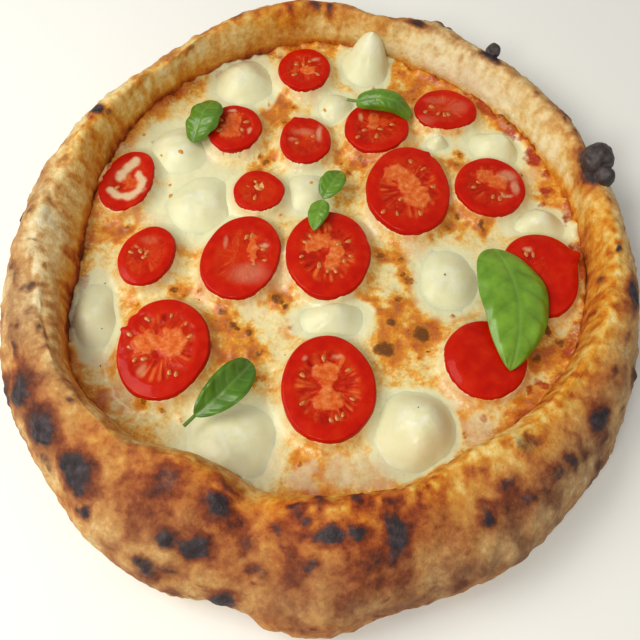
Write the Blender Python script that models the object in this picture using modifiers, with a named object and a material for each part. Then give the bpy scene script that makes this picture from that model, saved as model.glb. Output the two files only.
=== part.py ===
"""Caprese pizza: a puffy crust, melted cheese, tomato slices, mozzarella lumps and basil.

Metres, +Z up. The origin is on the table under the middle of the pizza, and the broad
front of the rim faces -Y. All named sizes are millimetres, turned to metres when a mesh
is made. Angles run anticlockwise from +X.
"""

import math
from collections import namedtuple

import bmesh
import bpy
import numpy as np

MM = 0.001

Blister = namedtuple("Blister", "turn radius level along across up")
Tomato = namedtuple("Tomato", "x y width length turn thickness point towards")
Lump = namedtuple("Lump", "x y width length turn height lean_x lean_y")
Leaf = namedtuple("Leaf", "base tip half_width arch bow lift roll ripple stem")

# Crust. Each list gives a radius or a height at evenly spaced angles from +X round.
RIM_OUTER = [
    141, 140, 143, 147, 145.5, 149, 154.5, 152, 159.5, 155, 150, 144.5, 143.5, 143.5, 144, 140.5,
    141, 144, 145, 149.5, 150.5, 154, 154.5, 152, 158.5, 153, 152, 150, 148, 147, 143.5, 142.5,
]
RIM_CREST = [
    129, 130, 132, 136.5, 135.5, 139, 144.5, 142, 149.5, 145, 140, 134, 132.5, 131, 129, 126,
    125, 123.5, 122, 121, 119, 115, 112, 113, 115, 115.5, 116, 116.5, 118, 121, 124, 126.5,
]
RIM_INNER = [121, 126, 129, 133, 140, 136, 129, 117, 111, 115, 112, 103, 107, 108, 110, 118]
RIM_HEIGHT = [34, 33, 33, 32, 32, 32, 31, 32, 34, 35, 36, 37, 38, 37, 36, 35]
RIM_WAIST = 0.34  # height of the widest ring, as a share of the rim's height
FOOT_INSET = 9.0  # from the widest ring back to the flat underside
RIM_LUMP = 1.4  # height of the uneven puffs on the rim
BASE_TOP = 4.6  # thickness of the dough under the cheese
CRUST_STEPS = 96
FOOT_ARC_STEPS = 3
OUTER_ARC_STEPS = 7
INNER_ARC_STEPS = 6

# Burnt blisters that stand out of the rim: direction in degrees, radius and height of the
# middle, and half sizes outwards, round the rim and up.
BLISTERS = [
    Blister(18.5, 138.0, 25.0, 8.0, 7.0, 8.0),
    Blister(53.5, 147.5, 28.5, 3.8, 2.8, 5.0),
    Blister(206.0, 145.5, 14.0, 2.6, 6.5, 5.0),
    Blister(223.0, 147.0, 12.0, 2.6, 7.0, 4.6),
    Blister(243.0, 150.0, 9.0, 2.6, 6.5, 3.2),
    Blister(254.4, 151.5, 8.0, 2.6, 6.5, 3.0),
]

# Melted cheese on the base.
GAP = 0.35  # between neighbouring solids
CHEESE_TOP = 8.6
CHEESE_WAVE = 0.7
CHEESE_CLIMB = 1.6  # how far the cheese climbs towards the rim
CLIMB_START = 0.86  # where that begins, as a share of the way to the rim
CHEESE_RINGS = [0.15, 0.3, 0.45, 0.6, 0.72, 0.83, 0.91, 0.96]

# Tomato slices: centre, width, length, turn in degrees, thickness, share by which one side
# is drawn out to a point, and the direction of that point in degrees.
TOMATOES = [
    Tomato(-9, 119, 28, 28, 0, 6.5, 0.00, 0),
    Tomato(-44, 80, 28, 29, 0, 6.5, 0.04, 250),
    Tomato(-8, 73, 26, 29, -8, 6.0, 0.05, 130),
    Tomato(-31, 42, 24, 24, 0, 5.5, 0.12, 8),
    Tomato(-95, 47, 25, 37, -16, 6.0, 0.06, 65),
    Tomato(-81, 5, 25, 33, -22, 6.5, 0.00, 0),
    Tomato(-37, 5, 36, 46, -14, 6.5, 0.08, 205),
    Tomato(3, 6, 40, 47, 0, 6.5, 0.02, 300),
    Tomato(28, 81, 33, 32, 0, 6.5, 0.00, 0),
    Tomato(63, 92, 31, 27, -8, 6.0, 0.10, 352),
    Tomato(42, 42, 41, 51, 0, 7.0, 0.02, 300),
    Tomato(82, 44, 34, 34, -10, 6.5, 0.05, 0),
    Tomato(100, -5, 34, 44, 8, 7.0, 0.10, 38),
    Tomato(71, -47, 36, 38, -20, 7.0, 0.03, 330),
    Tomato(-69, -42, 41, 49, -6, 7.0, 0.02, 150),
    Tomato(3, -60, 41, 49, 4, 7.0, 0.02, 250),
]
TOMATO_SIDES = 20
# Shares of the radius and of the thickness: skin edge rounded, top a little hollow.
TOMATO_PROFILE = [(0, 0), (0.88, 0), (1.0, 0.4), (0.95, 0.93), (0.72, 1.0), (0, 0.9)]

# Mozzarella lumps: centre, width, length, turn in degrees, height, and how far the peak
# leans from the centre in x and y.
MOZZARELLA = [
    Lump(-41, 115, 34, 34, 0, 8.0, 0, 0),
    Lump(24, 126, 26, 32, 0, 16.0, 3, 8),
    Lump(8, 98, 22, 20, 0, 5.0, 0, 0),
    Lump(87, 70, 34, 20, -30, 7.0, 3, 2),
    Lump(-72, 70, 34, 34, 0, 5.5, 0, 0),
    Lump(-58, 37, 40, 36, 30, 5.5, 0, 0),
    Lump(104, 24, 30, 22, -10, 7.0, 0, 2),
    Lump(5, -26, 36, 18, 6, 6.5, 0, 2),
    Lump(59, -5, 25, 34, 0, 6.0, 0, 0),
    Lump(39, -78, 36, 40, -12, 12.0, 2, 2),
    Lump(-38, -83, 34, 34, 20, 7.5, 0, 0),
    Lump(-103, -24, 18, 42, 6, 5.5, 0, 0),
    Lump(-7, 45, 20, 26, 0, 5.0, 0, 0),
    Lump(59, 74, 14, 12, 0, 4.5, 0, 0),
]
MOZZARELLA_SIDES = 16
# Shares of the radius and of the height: a soft dome with a rounded foot.
MOZZARELLA_PROFILE = [
    (0, 0), (0.92, 0), (1.0, 0.12), (0.9, 0.4), (0.66, 0.75), (0.34, 0.95), (0, 1.0),
]
TOPPING_SPACE = 1.0  # kept free between a lump and a tomato or the rim

# Basil leaves: where the blade starts and ends, half width, height of the arch, sideways
# bow of the midrib, lift of the edges, roll in degrees, height of the ripples, and length
# of the stem.
BASIL = [
    Leaf((-64, 70, 15.5), (-55, 94, 20.0), 9.0, 4.0, 0.0, -1.5, -12, 0.9, 0.0),
    Leaf((17, 93, 19.5), (45.5, 87, 19.0), 6.0, 5.5, 0.0, -2.5, 24, 0.3, 7.0),
    Leaf((1, 35.5, 16.5), (10, 52, 15.5), 6.0, 2.5, 0.0, 1.2, 0, 0.4, 0.0),
    Leaf((0.5, 33, 18.5), (-3.5, 16.5, 18.0), 5.0, 1.5, 0.0, 0.8, 10, 0.3, 0.0),
    Leaf((79, 6, 18.5), (80.5, -54, 18.0), 15.5, 5.5, 5.0, -2.0, -6, 0.5, 0.0),
    Leaf((-52.5, -74, 17.5), (-30, -48.5, 17.0), 10.5, 3.0, -3.0, 2.0, 14, 0.5, 6.0),
]
LEAF_THICKNESS = 0.9
LEAF_TIP = 0.4  # half width of the tip
LEAF_PEAK = 0.392  # greatest value of the outline's formula
STEM_HALF_WIDTH = 0.8
STEM_JOIN = 0.2  # share of the blade over which it is at least as wide as the stem
LEAF_ROWS = 12
LEAF_COLUMNS = 6

COLOURS = {
    "crust": ((0.56, 0.33, 0.13, 1.0), 0.75),
    "cheese": ((0.80, 0.62, 0.32, 1.0), 0.40),
    "tomato": ((0.62, 0.03, 0.01, 1.0), 0.25),
    "mozzarella": ((0.83, 0.80, 0.60, 1.0), 0.35),
    "basil": ((0.09, 0.30, 0.03, 1.0), 0.35),
}


def around(values, turn):
    """The value at an angle of a smooth closed curve through evenly spaced values."""
    values = np.asarray(values, float)
    place = np.asarray(turn, float) / math.tau * len(values)
    first = np.floor(place).astype(int)
    part = place - first
    a, b, c, d = (values[(first + step) % len(values)] for step in (-1, 0, 1, 2))
    cubic = 2 * a - 5 * b + 4 * c - d + part * (3 * (b - c) + d - a)
    return b + 0.5 * part * (c - a + part * cubic)


def rim_lump(turn, level):
    """Uneven puffs: three waves of different lengths that drift with the level."""
    waves = np.sin(6 * turn + 2.1 * level) + np.sin(11 * turn - 1.7 * level + 1.0)
    return RIM_LUMP * (0.4 * waves + 0.3 * np.sin(19 * turn + 3.0 * level + 2.0))


def cheese_height(x, y):
    """Top of the cheese: gentle waves, climbing a little close to the rim."""
    turn = np.arctan2(y, x)
    share = np.hypot(x, y) / around(RIM_INNER, turn)
    climb = CHEESE_CLIMB * np.clip((share - CLIMB_START) / (1 - CLIMB_START), 0, 1) ** 2
    wave = np.sin(x / 17 + 1.0) * np.cos(y / 21) + 0.6 * np.sin((x - y) / 20 + 2.0)
    return CHEESE_TOP + CHEESE_WAVE * wave + climb


def empty_scene():
    for old in list(bpy.data.objects):
        bpy.data.objects.remove(old, do_unlink=True)


def new_collection(name, hidden=False):
    made = bpy.data.collections.new(name)
    made.hide_render = hidden
    bpy.context.scene.collection.children.link(made)
    return made


def new_material(name):
    colour, roughness = COLOURS[name]
    made = bpy.data.materials.new(name)
    made.use_nodes = True
    shader = made.node_tree.nodes["Principled BSDF"]
    shader.inputs["Base Color"].default_value = colour
    shader.inputs["Roughness"].default_value = roughness
    shader.inputs["Metallic"].default_value = 0.0
    made.diffuse_color = colour
    return made


def new_object(name, mesh, material, collection):
    made = bpy.data.objects.new(name, mesh)
    mesh.materials.append(material)
    mesh.shade_smooth()
    collection.objects.link(made)
    return made


def mesh_from(bm, name):
    """A mesh of the bmesh, with its faces turned outwards."""
    bmesh.ops.recalc_face_normals(bm, faces=bm.faces)
    if bm.calc_volume(signed=True) < 0:
        bmesh.ops.reverse_faces(bm, faces=bm.faces)
    mesh = bpy.data.meshes.new(name)
    bm.to_mesh(mesh)
    bm.free()
    return mesh


def loft(rings, bottom, top):
    """A closed body through rings of points, with a fan to one point at each end."""
    bm = bmesh.new()
    loops = [[bm.verts.new(point) for point in ring] for ring in rings]
    count = len(loops[0])
    for lower, upper in zip(loops, loops[1:]):
        for i in range(count):
            j = (i + 1) % count
            bm.faces.new((lower[i], lower[j], upper[j], upper[i]))
    for loop, end in ((loops[0], bottom), (loops[-1], top)):
        centre = bm.verts.new(end)
        for i in range(count):
            bm.faces.new((loop[i], loop[(i + 1) % count], centre))
    return bm


def crust_rings(turn):
    """The crust's rings from the foot, out and over the crest, to the foot of the inner wall."""
    outer = around(RIM_OUTER, turn)
    crest = around(RIM_CREST, turn)
    inner = around(RIM_INNER, turn)
    height = around(RIM_HEIGHT, turn)
    waist = height * RIM_WAIST
    rings = []
    for step in range(FOOT_ARC_STEPS):
        bend = math.pi / 2 * step / FOOT_ARC_STEPS
        lump = rim_lump(turn, 0) * math.sin(bend)
        radius = outer - FOOT_INSET * (1 - math.sin(bend)) + lump
        rings.append((radius, waist * (1 - math.cos(bend))))
    for step in range(OUTER_ARC_STEPS):
        bend = math.pi / 2 * step / OUTER_ARC_STEPS
        lump = rim_lump(turn, bend)
        radius = crest + (outer - crest + lump) * math.cos(bend)
        rings.append((radius, waist + (height - waist + lump) * math.sin(bend)))
    for step in range(INNER_ARC_STEPS + 1):
        bend = math.pi / 2 * step / INNER_ARC_STEPS
        lump = rim_lump(turn, math.pi / 2 + bend) * math.cos(bend)
        radius = crest - (crest - inner) * math.sin(bend)
        rings.append((radius, BASE_TOP + (height + lump - BASE_TOP) * math.cos(bend)))
    return rings


def make_crust(material, collection, blisters):
    """Base and rim as one loft of uneven rings, with the burnt blisters joined on."""
    turn = np.arange(CRUST_STEPS) * math.tau / CRUST_STEPS
    rings = []
    for radius, level in crust_rings(turn):
        level = np.broadcast_to(level, turn.shape)
        rings.append(MM * np.column_stack((radius * np.cos(turn), radius * np.sin(turn), level)))
    bm = loft(rings, (0, 0, 0), (0, 0, BASE_TOP * MM))
    crust = new_object("crust", mesh_from(bm, "crust"), material, collection)
    for spot in BLISTERS:
        bm = bmesh.new()
        bmesh.ops.create_icosphere(bm, subdivisions=2, radius=MM)
        bmesh.ops.scale(bm, vec=(spot.along, spot.across, spot.up), verts=bm.verts)
        blister = new_object("blister", mesh_from(bm, "blister"), material, blisters)
        angle = math.radians(spot.turn)
        middle = (spot.radius * math.cos(angle), spot.radius * math.sin(angle), spot.level)
        blister.location = [MM * value for value in middle]
        blister.rotation_euler.z = angle
    join(crust, blisters)
    return crust


def join(target, collection):
    """Unites an object with all the objects of a collection, then removes them."""
    union = target.modifiers.new("union", "BOOLEAN")
    union.operation = "UNION"
    union.operand_type = "COLLECTION"
    union.collection = collection
    bpy.context.view_layer.update()
    graph = bpy.context.evaluated_depsgraph_get()
    joined = bpy.data.meshes.new_from_object(target.evaluated_get(graph))
    target.modifiers.clear()
    target.data = joined
    for tool in list(collection.objects):
        bpy.data.objects.remove(tool, do_unlink=True)


def make_cheese(material, collection):
    """The cheese layer: flat below, waved above, its edge close to the crust's inner wall."""
    turn = np.arange(CRUST_STEPS) * math.tau / CRUST_STEPS
    edge = around(RIM_INNER, turn) - 2 * GAP
    low = BASE_TOP + GAP
    rings = [(edge, np.full(CRUST_STEPS, low))]
    for share in [1.0, *reversed(CHEESE_RINGS)]:
        radius = edge * share
        rings.append((radius, cheese_height(radius * np.cos(turn), radius * np.sin(turn))))
    points = [
        MM * np.column_stack((radius * np.cos(turn), radius * np.sin(turn), level))
        for radius, level in rings
    ]
    bm = loft(points, (0, 0, low * MM), (0, 0, float(cheese_height(0, 0)) * MM))
    return new_object("cheese_layer", mesh_from(bm, "cheese_layer"), material, collection)


def turned(profile, sides):
    """A closed turned body from (radius, height) points that start and end on the axis."""
    bm = bmesh.new()
    line = [bm.verts.new((radius, 0, height)) for radius, height in profile]
    edges = [bm.edges.new(pair) for pair in zip(line, line[1:])]
    bmesh.ops.spin(
        bm, geom=line + edges, cent=(0, 0, 0), axis=(0, 0, 1), angle=math.tau, steps=sides,
        use_merge=True,
    )
    bmesh.ops.remove_doubles(bm, verts=bm.verts, dist=0.0001)
    return bm


def tomato_reach(tomato, turn):
    """Distance from a slice's centre to its edge: an ellipse, drawn out on one side."""
    local = turn - math.radians(tomato.turn)
    ellipse = 0.5 / math.hypot(math.cos(local) / tomato.width, math.sin(local) / tomato.length)
    drawn = max(math.cos(turn - math.radians(tomato.towards)), 0) ** 5
    return ellipse * (1 + tomato.point * drawn)


def make_tomato(name, tomato, material, collection):
    """A turned slice pressed to its outline and laid on the cheese."""
    bm = turned(TOMATO_PROFILE, TOMATO_SIDES)
    for vert in bm.verts:
        turn = math.atan2(vert.co.y, vert.co.x)
        reach = math.hypot(vert.co.x, vert.co.y) * tomato_reach(tomato, turn)
        x = tomato.x + reach * math.cos(turn)
        y = tomato.y + reach * math.sin(turn)
        z = vert.co.z * tomato.thickness + float(cheese_height(x, y)) + GAP
        vert.co = (x * MM, y * MM, z * MM)
    return new_object(name, mesh_from(bm, name), material, collection)


def way_to_tomato(x, y, turn, tomato):
    """How far a ray from (x, y) runs before it meets a slice's outline with space added."""
    angle = math.radians(tomato.turn)
    half = [
        size / 2 * (1 + tomato.point) + TOPPING_SPACE for size in (tomato.width, tomato.length)
    ]
    dx, dy = x - tomato.x, y - tomato.y
    start = (
        (dx * math.cos(angle) + dy * math.sin(angle)) / half[0],
        (dy * math.cos(angle) - dx * math.sin(angle)) / half[1],
    )
    step = (math.cos(turn - angle) / half[0], math.sin(turn - angle) / half[1])
    a = step[0] ** 2 + step[1] ** 2
    b = start[0] * step[0] + start[1] * step[1]
    c = start[0] ** 2 + start[1] ** 2 - 1
    inside = b * b - a * c
    if inside <= 0 or b >= 0:
        return math.inf
    return max((-b - math.sqrt(inside)) / a, 0)


def mozzarella_reach(lump, turn):
    """A wavy ellipse that stops short of every tomato slice."""
    local = turn - math.radians(lump.turn)
    reach = 0.5 / math.hypot(math.cos(local) / lump.width, math.sin(local) / lump.length)
    reach *= 1 + 0.06 * math.sin(3 * turn + lump.x) + 0.04 * math.sin(5 * turn + lump.y)
    return min(reach, *(way_to_tomato(lump.x, lump.y, turn, tomato) for tomato in TOMATOES))


def inside_rim(x, y):
    """The point itself, or drawn straight in to where it clears the crust's inner wall."""
    limit = float(around(RIM_INNER, math.atan2(y, x))) - TOPPING_SPACE
    scale = min(limit / max(math.hypot(x, y), 1), 1)
    return x * scale, y * scale


def make_mozzarella(name, lump, material, collection):
    """A turned dome pressed to its outline, its peak leaning, laid on the cheese."""
    bm = turned(MOZZARELLA_PROFILE, MOZZARELLA_SIDES)
    for vert in bm.verts:
        turn = math.atan2(vert.co.y, vert.co.x)
        reach = math.hypot(vert.co.x, vert.co.y) * mozzarella_reach(lump, turn)
        x = lump.x + reach * math.cos(turn) + lump.lean_x * vert.co.z
        y = lump.y + reach * math.sin(turn) + lump.lean_y * vert.co.z
        x, y = inside_rim(x, y)
        z = vert.co.z * lump.height + float(cheese_height(x, y)) + GAP
        vert.co = (x * MM, y * MM, z * MM)
    return new_object(name, mesh_from(bm, name), material, collection)


def leaf_half_width(share, widest):
    """An egg outline, widest at two fifths of the blade and pointed at the tip."""
    outline = share**0.55 * (1 - share) ** 0.85 / LEAF_PEAK
    return max(widest * outline, LEAF_TIP)


def make_leaf(name, leaf, material, collection):
    """An arched, cupped and rippled blade of even thickness, some with a short stem."""
    base, tip = np.array(leaf.base, float), np.array(leaf.tip, float)
    length = float(np.linalg.norm(tip - base))
    along = (tip - base) / length
    flat = np.cross((0, 0, 1), along)
    flat /= np.linalg.norm(flat)
    rise = np.cross(along, flat)
    roll = math.radians(leaf.roll)
    side = flat * math.cos(roll) + rise * math.sin(roll)
    up = rise * math.cos(roll) - flat * math.sin(roll)
    bm = bmesh.new()
    bmesh.ops.create_grid(bm, x_segments=LEAF_ROWS, y_segments=LEAF_COLUMNS, size=1.0)
    for vert in bm.verts:
        across = vert.co.y
        way = (vert.co.x + 1) / 2 * (length + leaf.stem) - leaf.stem
        blade = min(max(way / length, 0), 1)
        half = leaf_half_width(blade, leaf.half_width)
        if blade < STEM_JOIN:
            half = max(half, STEM_HALF_WIDTH)
        hump = 4 * blade * (1 - blade)
        lift = leaf.lift * across**2 * hump
        fold = leaf.ripple * math.sin(17 * blade + 2 * across) * abs(across) * hump
        place = base + along * way + (rise * leaf.arch + flat * leaf.bow) * hump
        place += side * across * half + up * (lift + fold)
        vert.co = place * MM
    bmesh.ops.triangulate(bm, faces=bm.faces)
    made = new_object(name, mesh_from(bm, name), material, collection)
    shell = made.modifiers.new("thickness", "SOLIDIFY")
    shell.thickness = LEAF_THICKNESS * MM
    shell.offset = 0.0
    return made


def main():
    empty_scene()
    pizza = new_collection("caprese_pizza")
    blisters = new_collection("joined_blisters", hidden=True)
    materials = {name: new_material(name) for name in COLOURS}
    make_crust(materials["crust"], pizza, blisters)
    make_cheese(materials["cheese"], pizza)
    for index, tomato in enumerate(TOMATOES, 1):
        make_tomato(f"tomato_{index:02d}", tomato, materials["tomato"], pizza)
    for index, lump in enumerate(MOZZARELLA, 1):
        make_mozzarella(f"mozzarella_{index:02d}", lump, materials["mozzarella"], pizza)
    for index, leaf in enumerate(BASIL, 1):
        make_leaf(f"basil_{index:02d}", leaf, materials["basil"], pizza)


main()
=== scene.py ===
# %% [markdown]
# # A caprese pizza, dressed
#
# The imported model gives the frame: a dough crust, a layer of melted cheese, tomato slices,
# lumps of mozzarella and basil leaves, each a plain solid at its real size. This lesson
# lays the real surfaces over them. Every surface is a formula worked out with whole numpy
# arrays, and every finish is a small node tree. Sizes are millimetres until a mesh is made.

import math
from collections import namedtuple

import bpy
import numpy as np
from mathutils import Matrix, Vector


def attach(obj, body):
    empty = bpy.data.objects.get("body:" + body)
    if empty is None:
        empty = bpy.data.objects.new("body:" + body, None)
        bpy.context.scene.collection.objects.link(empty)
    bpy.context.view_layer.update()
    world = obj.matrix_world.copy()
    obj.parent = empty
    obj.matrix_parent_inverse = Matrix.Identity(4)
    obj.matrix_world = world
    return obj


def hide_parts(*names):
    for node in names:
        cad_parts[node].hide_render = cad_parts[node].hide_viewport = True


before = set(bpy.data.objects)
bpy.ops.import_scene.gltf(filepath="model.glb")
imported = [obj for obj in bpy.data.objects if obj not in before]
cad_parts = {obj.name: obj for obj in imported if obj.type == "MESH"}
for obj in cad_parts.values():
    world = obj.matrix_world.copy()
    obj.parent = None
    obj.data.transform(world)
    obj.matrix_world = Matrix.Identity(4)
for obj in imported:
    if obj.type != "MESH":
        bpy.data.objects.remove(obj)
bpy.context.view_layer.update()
MM = 0.001
random = np.random.default_rng(7)
print("nodes in the frame:", len(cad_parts))

# %% [markdown]
# ## The camera
# The photograph looks down at 64 degrees from the broad front of the rim. A long-ish lens
# from a third of a metre gives the same slight widening towards the viewer. The camera
# comes first, so that every piece can be set against the photograph as it is made.

# %% Camera
CAMERA_PLACE = (-0.6, -174.33, 313.58)
CAMERA_ELEVATION = 64
CAMERA_LENS, CAMERA_SENSOR = 42.1875, 36
camera = bpy.data.objects.new("camera", bpy.data.cameras.new("camera"))
camera.data.lens = CAMERA_LENS
camera.data.sensor_width = CAMERA_SENSOR
camera.location = Vector(CAMERA_PLACE) * MM
camera.rotation_euler = (math.radians(90 - CAMERA_ELEVATION), 0, 0)
camera.data.clip_start = 0.01
bpy.context.scene.collection.objects.link(camera)
bpy.context.scene.camera = camera
print("camera at", tuple(round(value, 3) for value in camera.location))

# %% [markdown]
# ## Helpers for shapes
# Food is never smooth, so the first helper makes smooth random bumps. A lattice of points
# gets random values, and between them the values are blended. Adding the same noise again
# at half the size and half the strength gives bumps with smaller bumps on them. Later cells
# keep such noises as rows of numbers, and waves() adds the rows up.

# %% Noise and curves
LATTICE = np.random.default_rng(3).uniform(-1, 1, 4096)
SCATTER = (73856093, 19349663, 83492791)  # large primes that spread the corners over the lattice
SEED_STEP = 977  # how far along the lattice each seed starts


def noise(points, cell, seed):
    """Smooth random values from -1 to 1: lattice values a cell apart, blended by 3t2 - 2t3."""
    place = np.asarray(points, float) / cell
    corner = np.floor(place).astype(np.int64)
    part = place - corner
    part = part * part * (3 - 2 * part)
    total = 0.0
    for step in np.ndindex(2, 2, 2):
        key = np.bitwise_xor.reduce((corner + step) * SCATTER, axis=-1) + seed * SEED_STEP
        weight = np.prod(np.where(step, part, 1 - part), axis=-1)
        total = total + weight * LATTICE[key % LATTICE.size]
    return total


def rough(points, cell, seed, octaves):
    """Noise, plus the same at half the cell and half the strength, and so on."""
    return sum(noise(points, cell / 2**k, seed + k) / 2**k for k in range(octaves))


def waves(points, *rows):
    """Noises added up: each row has a strength, a cell in millimetres, a seed and its octaves."""
    return sum(strength * rough(points, *row) for strength, *row in rows)


def at_level(x, y, level=0.0):
    """Points (x, y, level) for noise: each level picks another layer of the same noise."""
    return np.stack([x, y, np.full_like(x, level)], -1)


def around(values, turn):
    """The value at an angle of a smooth closed curve through evenly spaced values."""
    values = np.asarray(values, float)
    place = np.asarray(turn, float) / math.tau * len(values)
    first = np.floor(place).astype(int)
    part = place - first
    a, b, c, d = (values[(first + step) % len(values)] for step in (-1, 0, 1, 2))
    cubic = 2 * a - 5 * b + 4 * c - d + part * (3 * (b - c) + d - a)
    return b + 0.5 * part * (c - a + part * cubic)


def soft_step(value, low, high):
    """0 below low, 1 above high, and a smooth S between. With low above high it falls."""
    part = np.clip((value - low) / (high - low), 0, 1)
    return part * part * (3 - 2 * part)


def bell(away, width):
    """1 in the middle, falling to 0 on both sides: e to the minus (away / width) squared."""
    return np.exp(-((away / width) ** 2))


def turned_from(turn, middle):
    """How far angles in radians lie from one in degrees, from -180 to 180 degrees."""
    return (np.degrees(turn) - middle + 180) % 360 - 180


sample = noise(random.uniform(0, 99, (999, 3)), 5, 0)
print("noise spans", sample.min().round(2), "to", sample.max().round(2))

# %% [markdown]
# ## Helpers for meshes
# Most pieces here are closed skins made of rings: from a point under the piece, out over
# the edge, and in again to a point on top. skin() joins such rings with faces that look
# outwards and closes both poles. new_piece() makes the mesh and stores any values that the
# materials need, such as how brown the surface is at each point.

# %% Meshes from rings
def ring_faces(rows, columns):
    """Quads between neighbouring rings, as four point numbers each."""
    row, column = np.mgrid[: rows - 1, :columns]
    here, right = row * columns + column, row * columns + (column + 1) % columns
    return np.stack([here, right, right + columns, here + columns], -1).reshape(-1, 4)


def new_piece(name, points, faces, values=None):
    """A smooth mesh object of points in millimetres, riding on the one body of the pizza."""
    mesh = bpy.data.meshes.new(name)
    mesh.from_pydata((np.asarray(points, float) * MM).tolist(), [], faces)
    for key, numbers in (values or {}).items():
        layer = mesh.attributes.new(key, "FLOAT", "POINT")
        layer.data.foreach_set("value", np.asarray(numbers, np.float32).ravel())
    mesh.shade_smooth()
    made = bpy.data.objects.new(name, mesh)
    bpy.context.scene.collection.objects.link(made)
    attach(made, "root")
    return made


def circle(count):
    """Evenly spaced angles, once round."""
    return np.arange(count) * math.tau / count


def ball(columns, rows, latitude):
    """Rings (rows, columns, 3) of a unit ball, from minus that latitude in degrees to plus it."""
    turn, level = circle(columns), np.radians(np.linspace(-latitude, latitude, rows))[:, None]
    high = np.broadcast_to(np.sin(level), (rows, columns))
    return np.stack([np.cos(level) * np.cos(turn), np.cos(level) * np.sin(turn), high], -1)


def skin(rings, poles=None):
    """(points, faces) of a closed skin: rings with a pole at each end, or else their means."""
    rows, columns = rings.shape[:2]
    poles = [rings[0].mean(0), rings[-1].mean(0)] if poles is None else poles
    points = np.concatenate([rings.reshape(-1, 3), poles])
    first = np.arange(columns)
    after = (first + 1) % columns
    last = (rows - 1) * columns
    low = np.stack([after, first, np.full(columns, rows * columns)], -1)
    high = np.stack([last + first, last + after, np.full(columns, rows * columns + 1)], -1)
    return points, ring_faces(rows, columns).tolist() + low.tolist() + high.tolist()


def with_poles(values):
    """A value for each ring point, then for the two poles, taken from the rings beside them."""
    return np.concatenate([values.ravel(), [values[0].mean(), values[-1].mean()]])


def outward(rings):
    """Unit normals of a ring surface, from the cross product of its two directions."""
    along = np.roll(rings, -1, axis=1) - np.roll(rings, 1, axis=1)
    across = np.gradient(rings, axis=0)
    normal = np.cross(along, across)
    return normal / np.maximum(np.linalg.norm(normal, axis=-1, keepdims=True), 1e-9)


print("a ball of 8 columns and 5 rings has", len(skin(ball(8, 5, 80))[1]), "faces")

# %% [markdown]
# ## Helpers for finishes
# A finish is a node tree under one shader. Its methods add a node, set what is given and
# join what is given as a link, so that a whole material reads as a short list. Colours are
# written as the eye sees them, in hex, and turned to linear light.

# %% Materials from nodes
def linear(code):
    """The linear-light colour of an sRGB hex code: each channel by the sRGB curve."""
    channels = [int(code[i : i + 2], 16) / 255 for i in (1, 3, 5)]
    curve = [c / 12.92 if c <= 0.04045 else ((c + 0.055) / 1.055) ** 2.4 for c in channels]
    return (*curve, 1.0)


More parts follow.
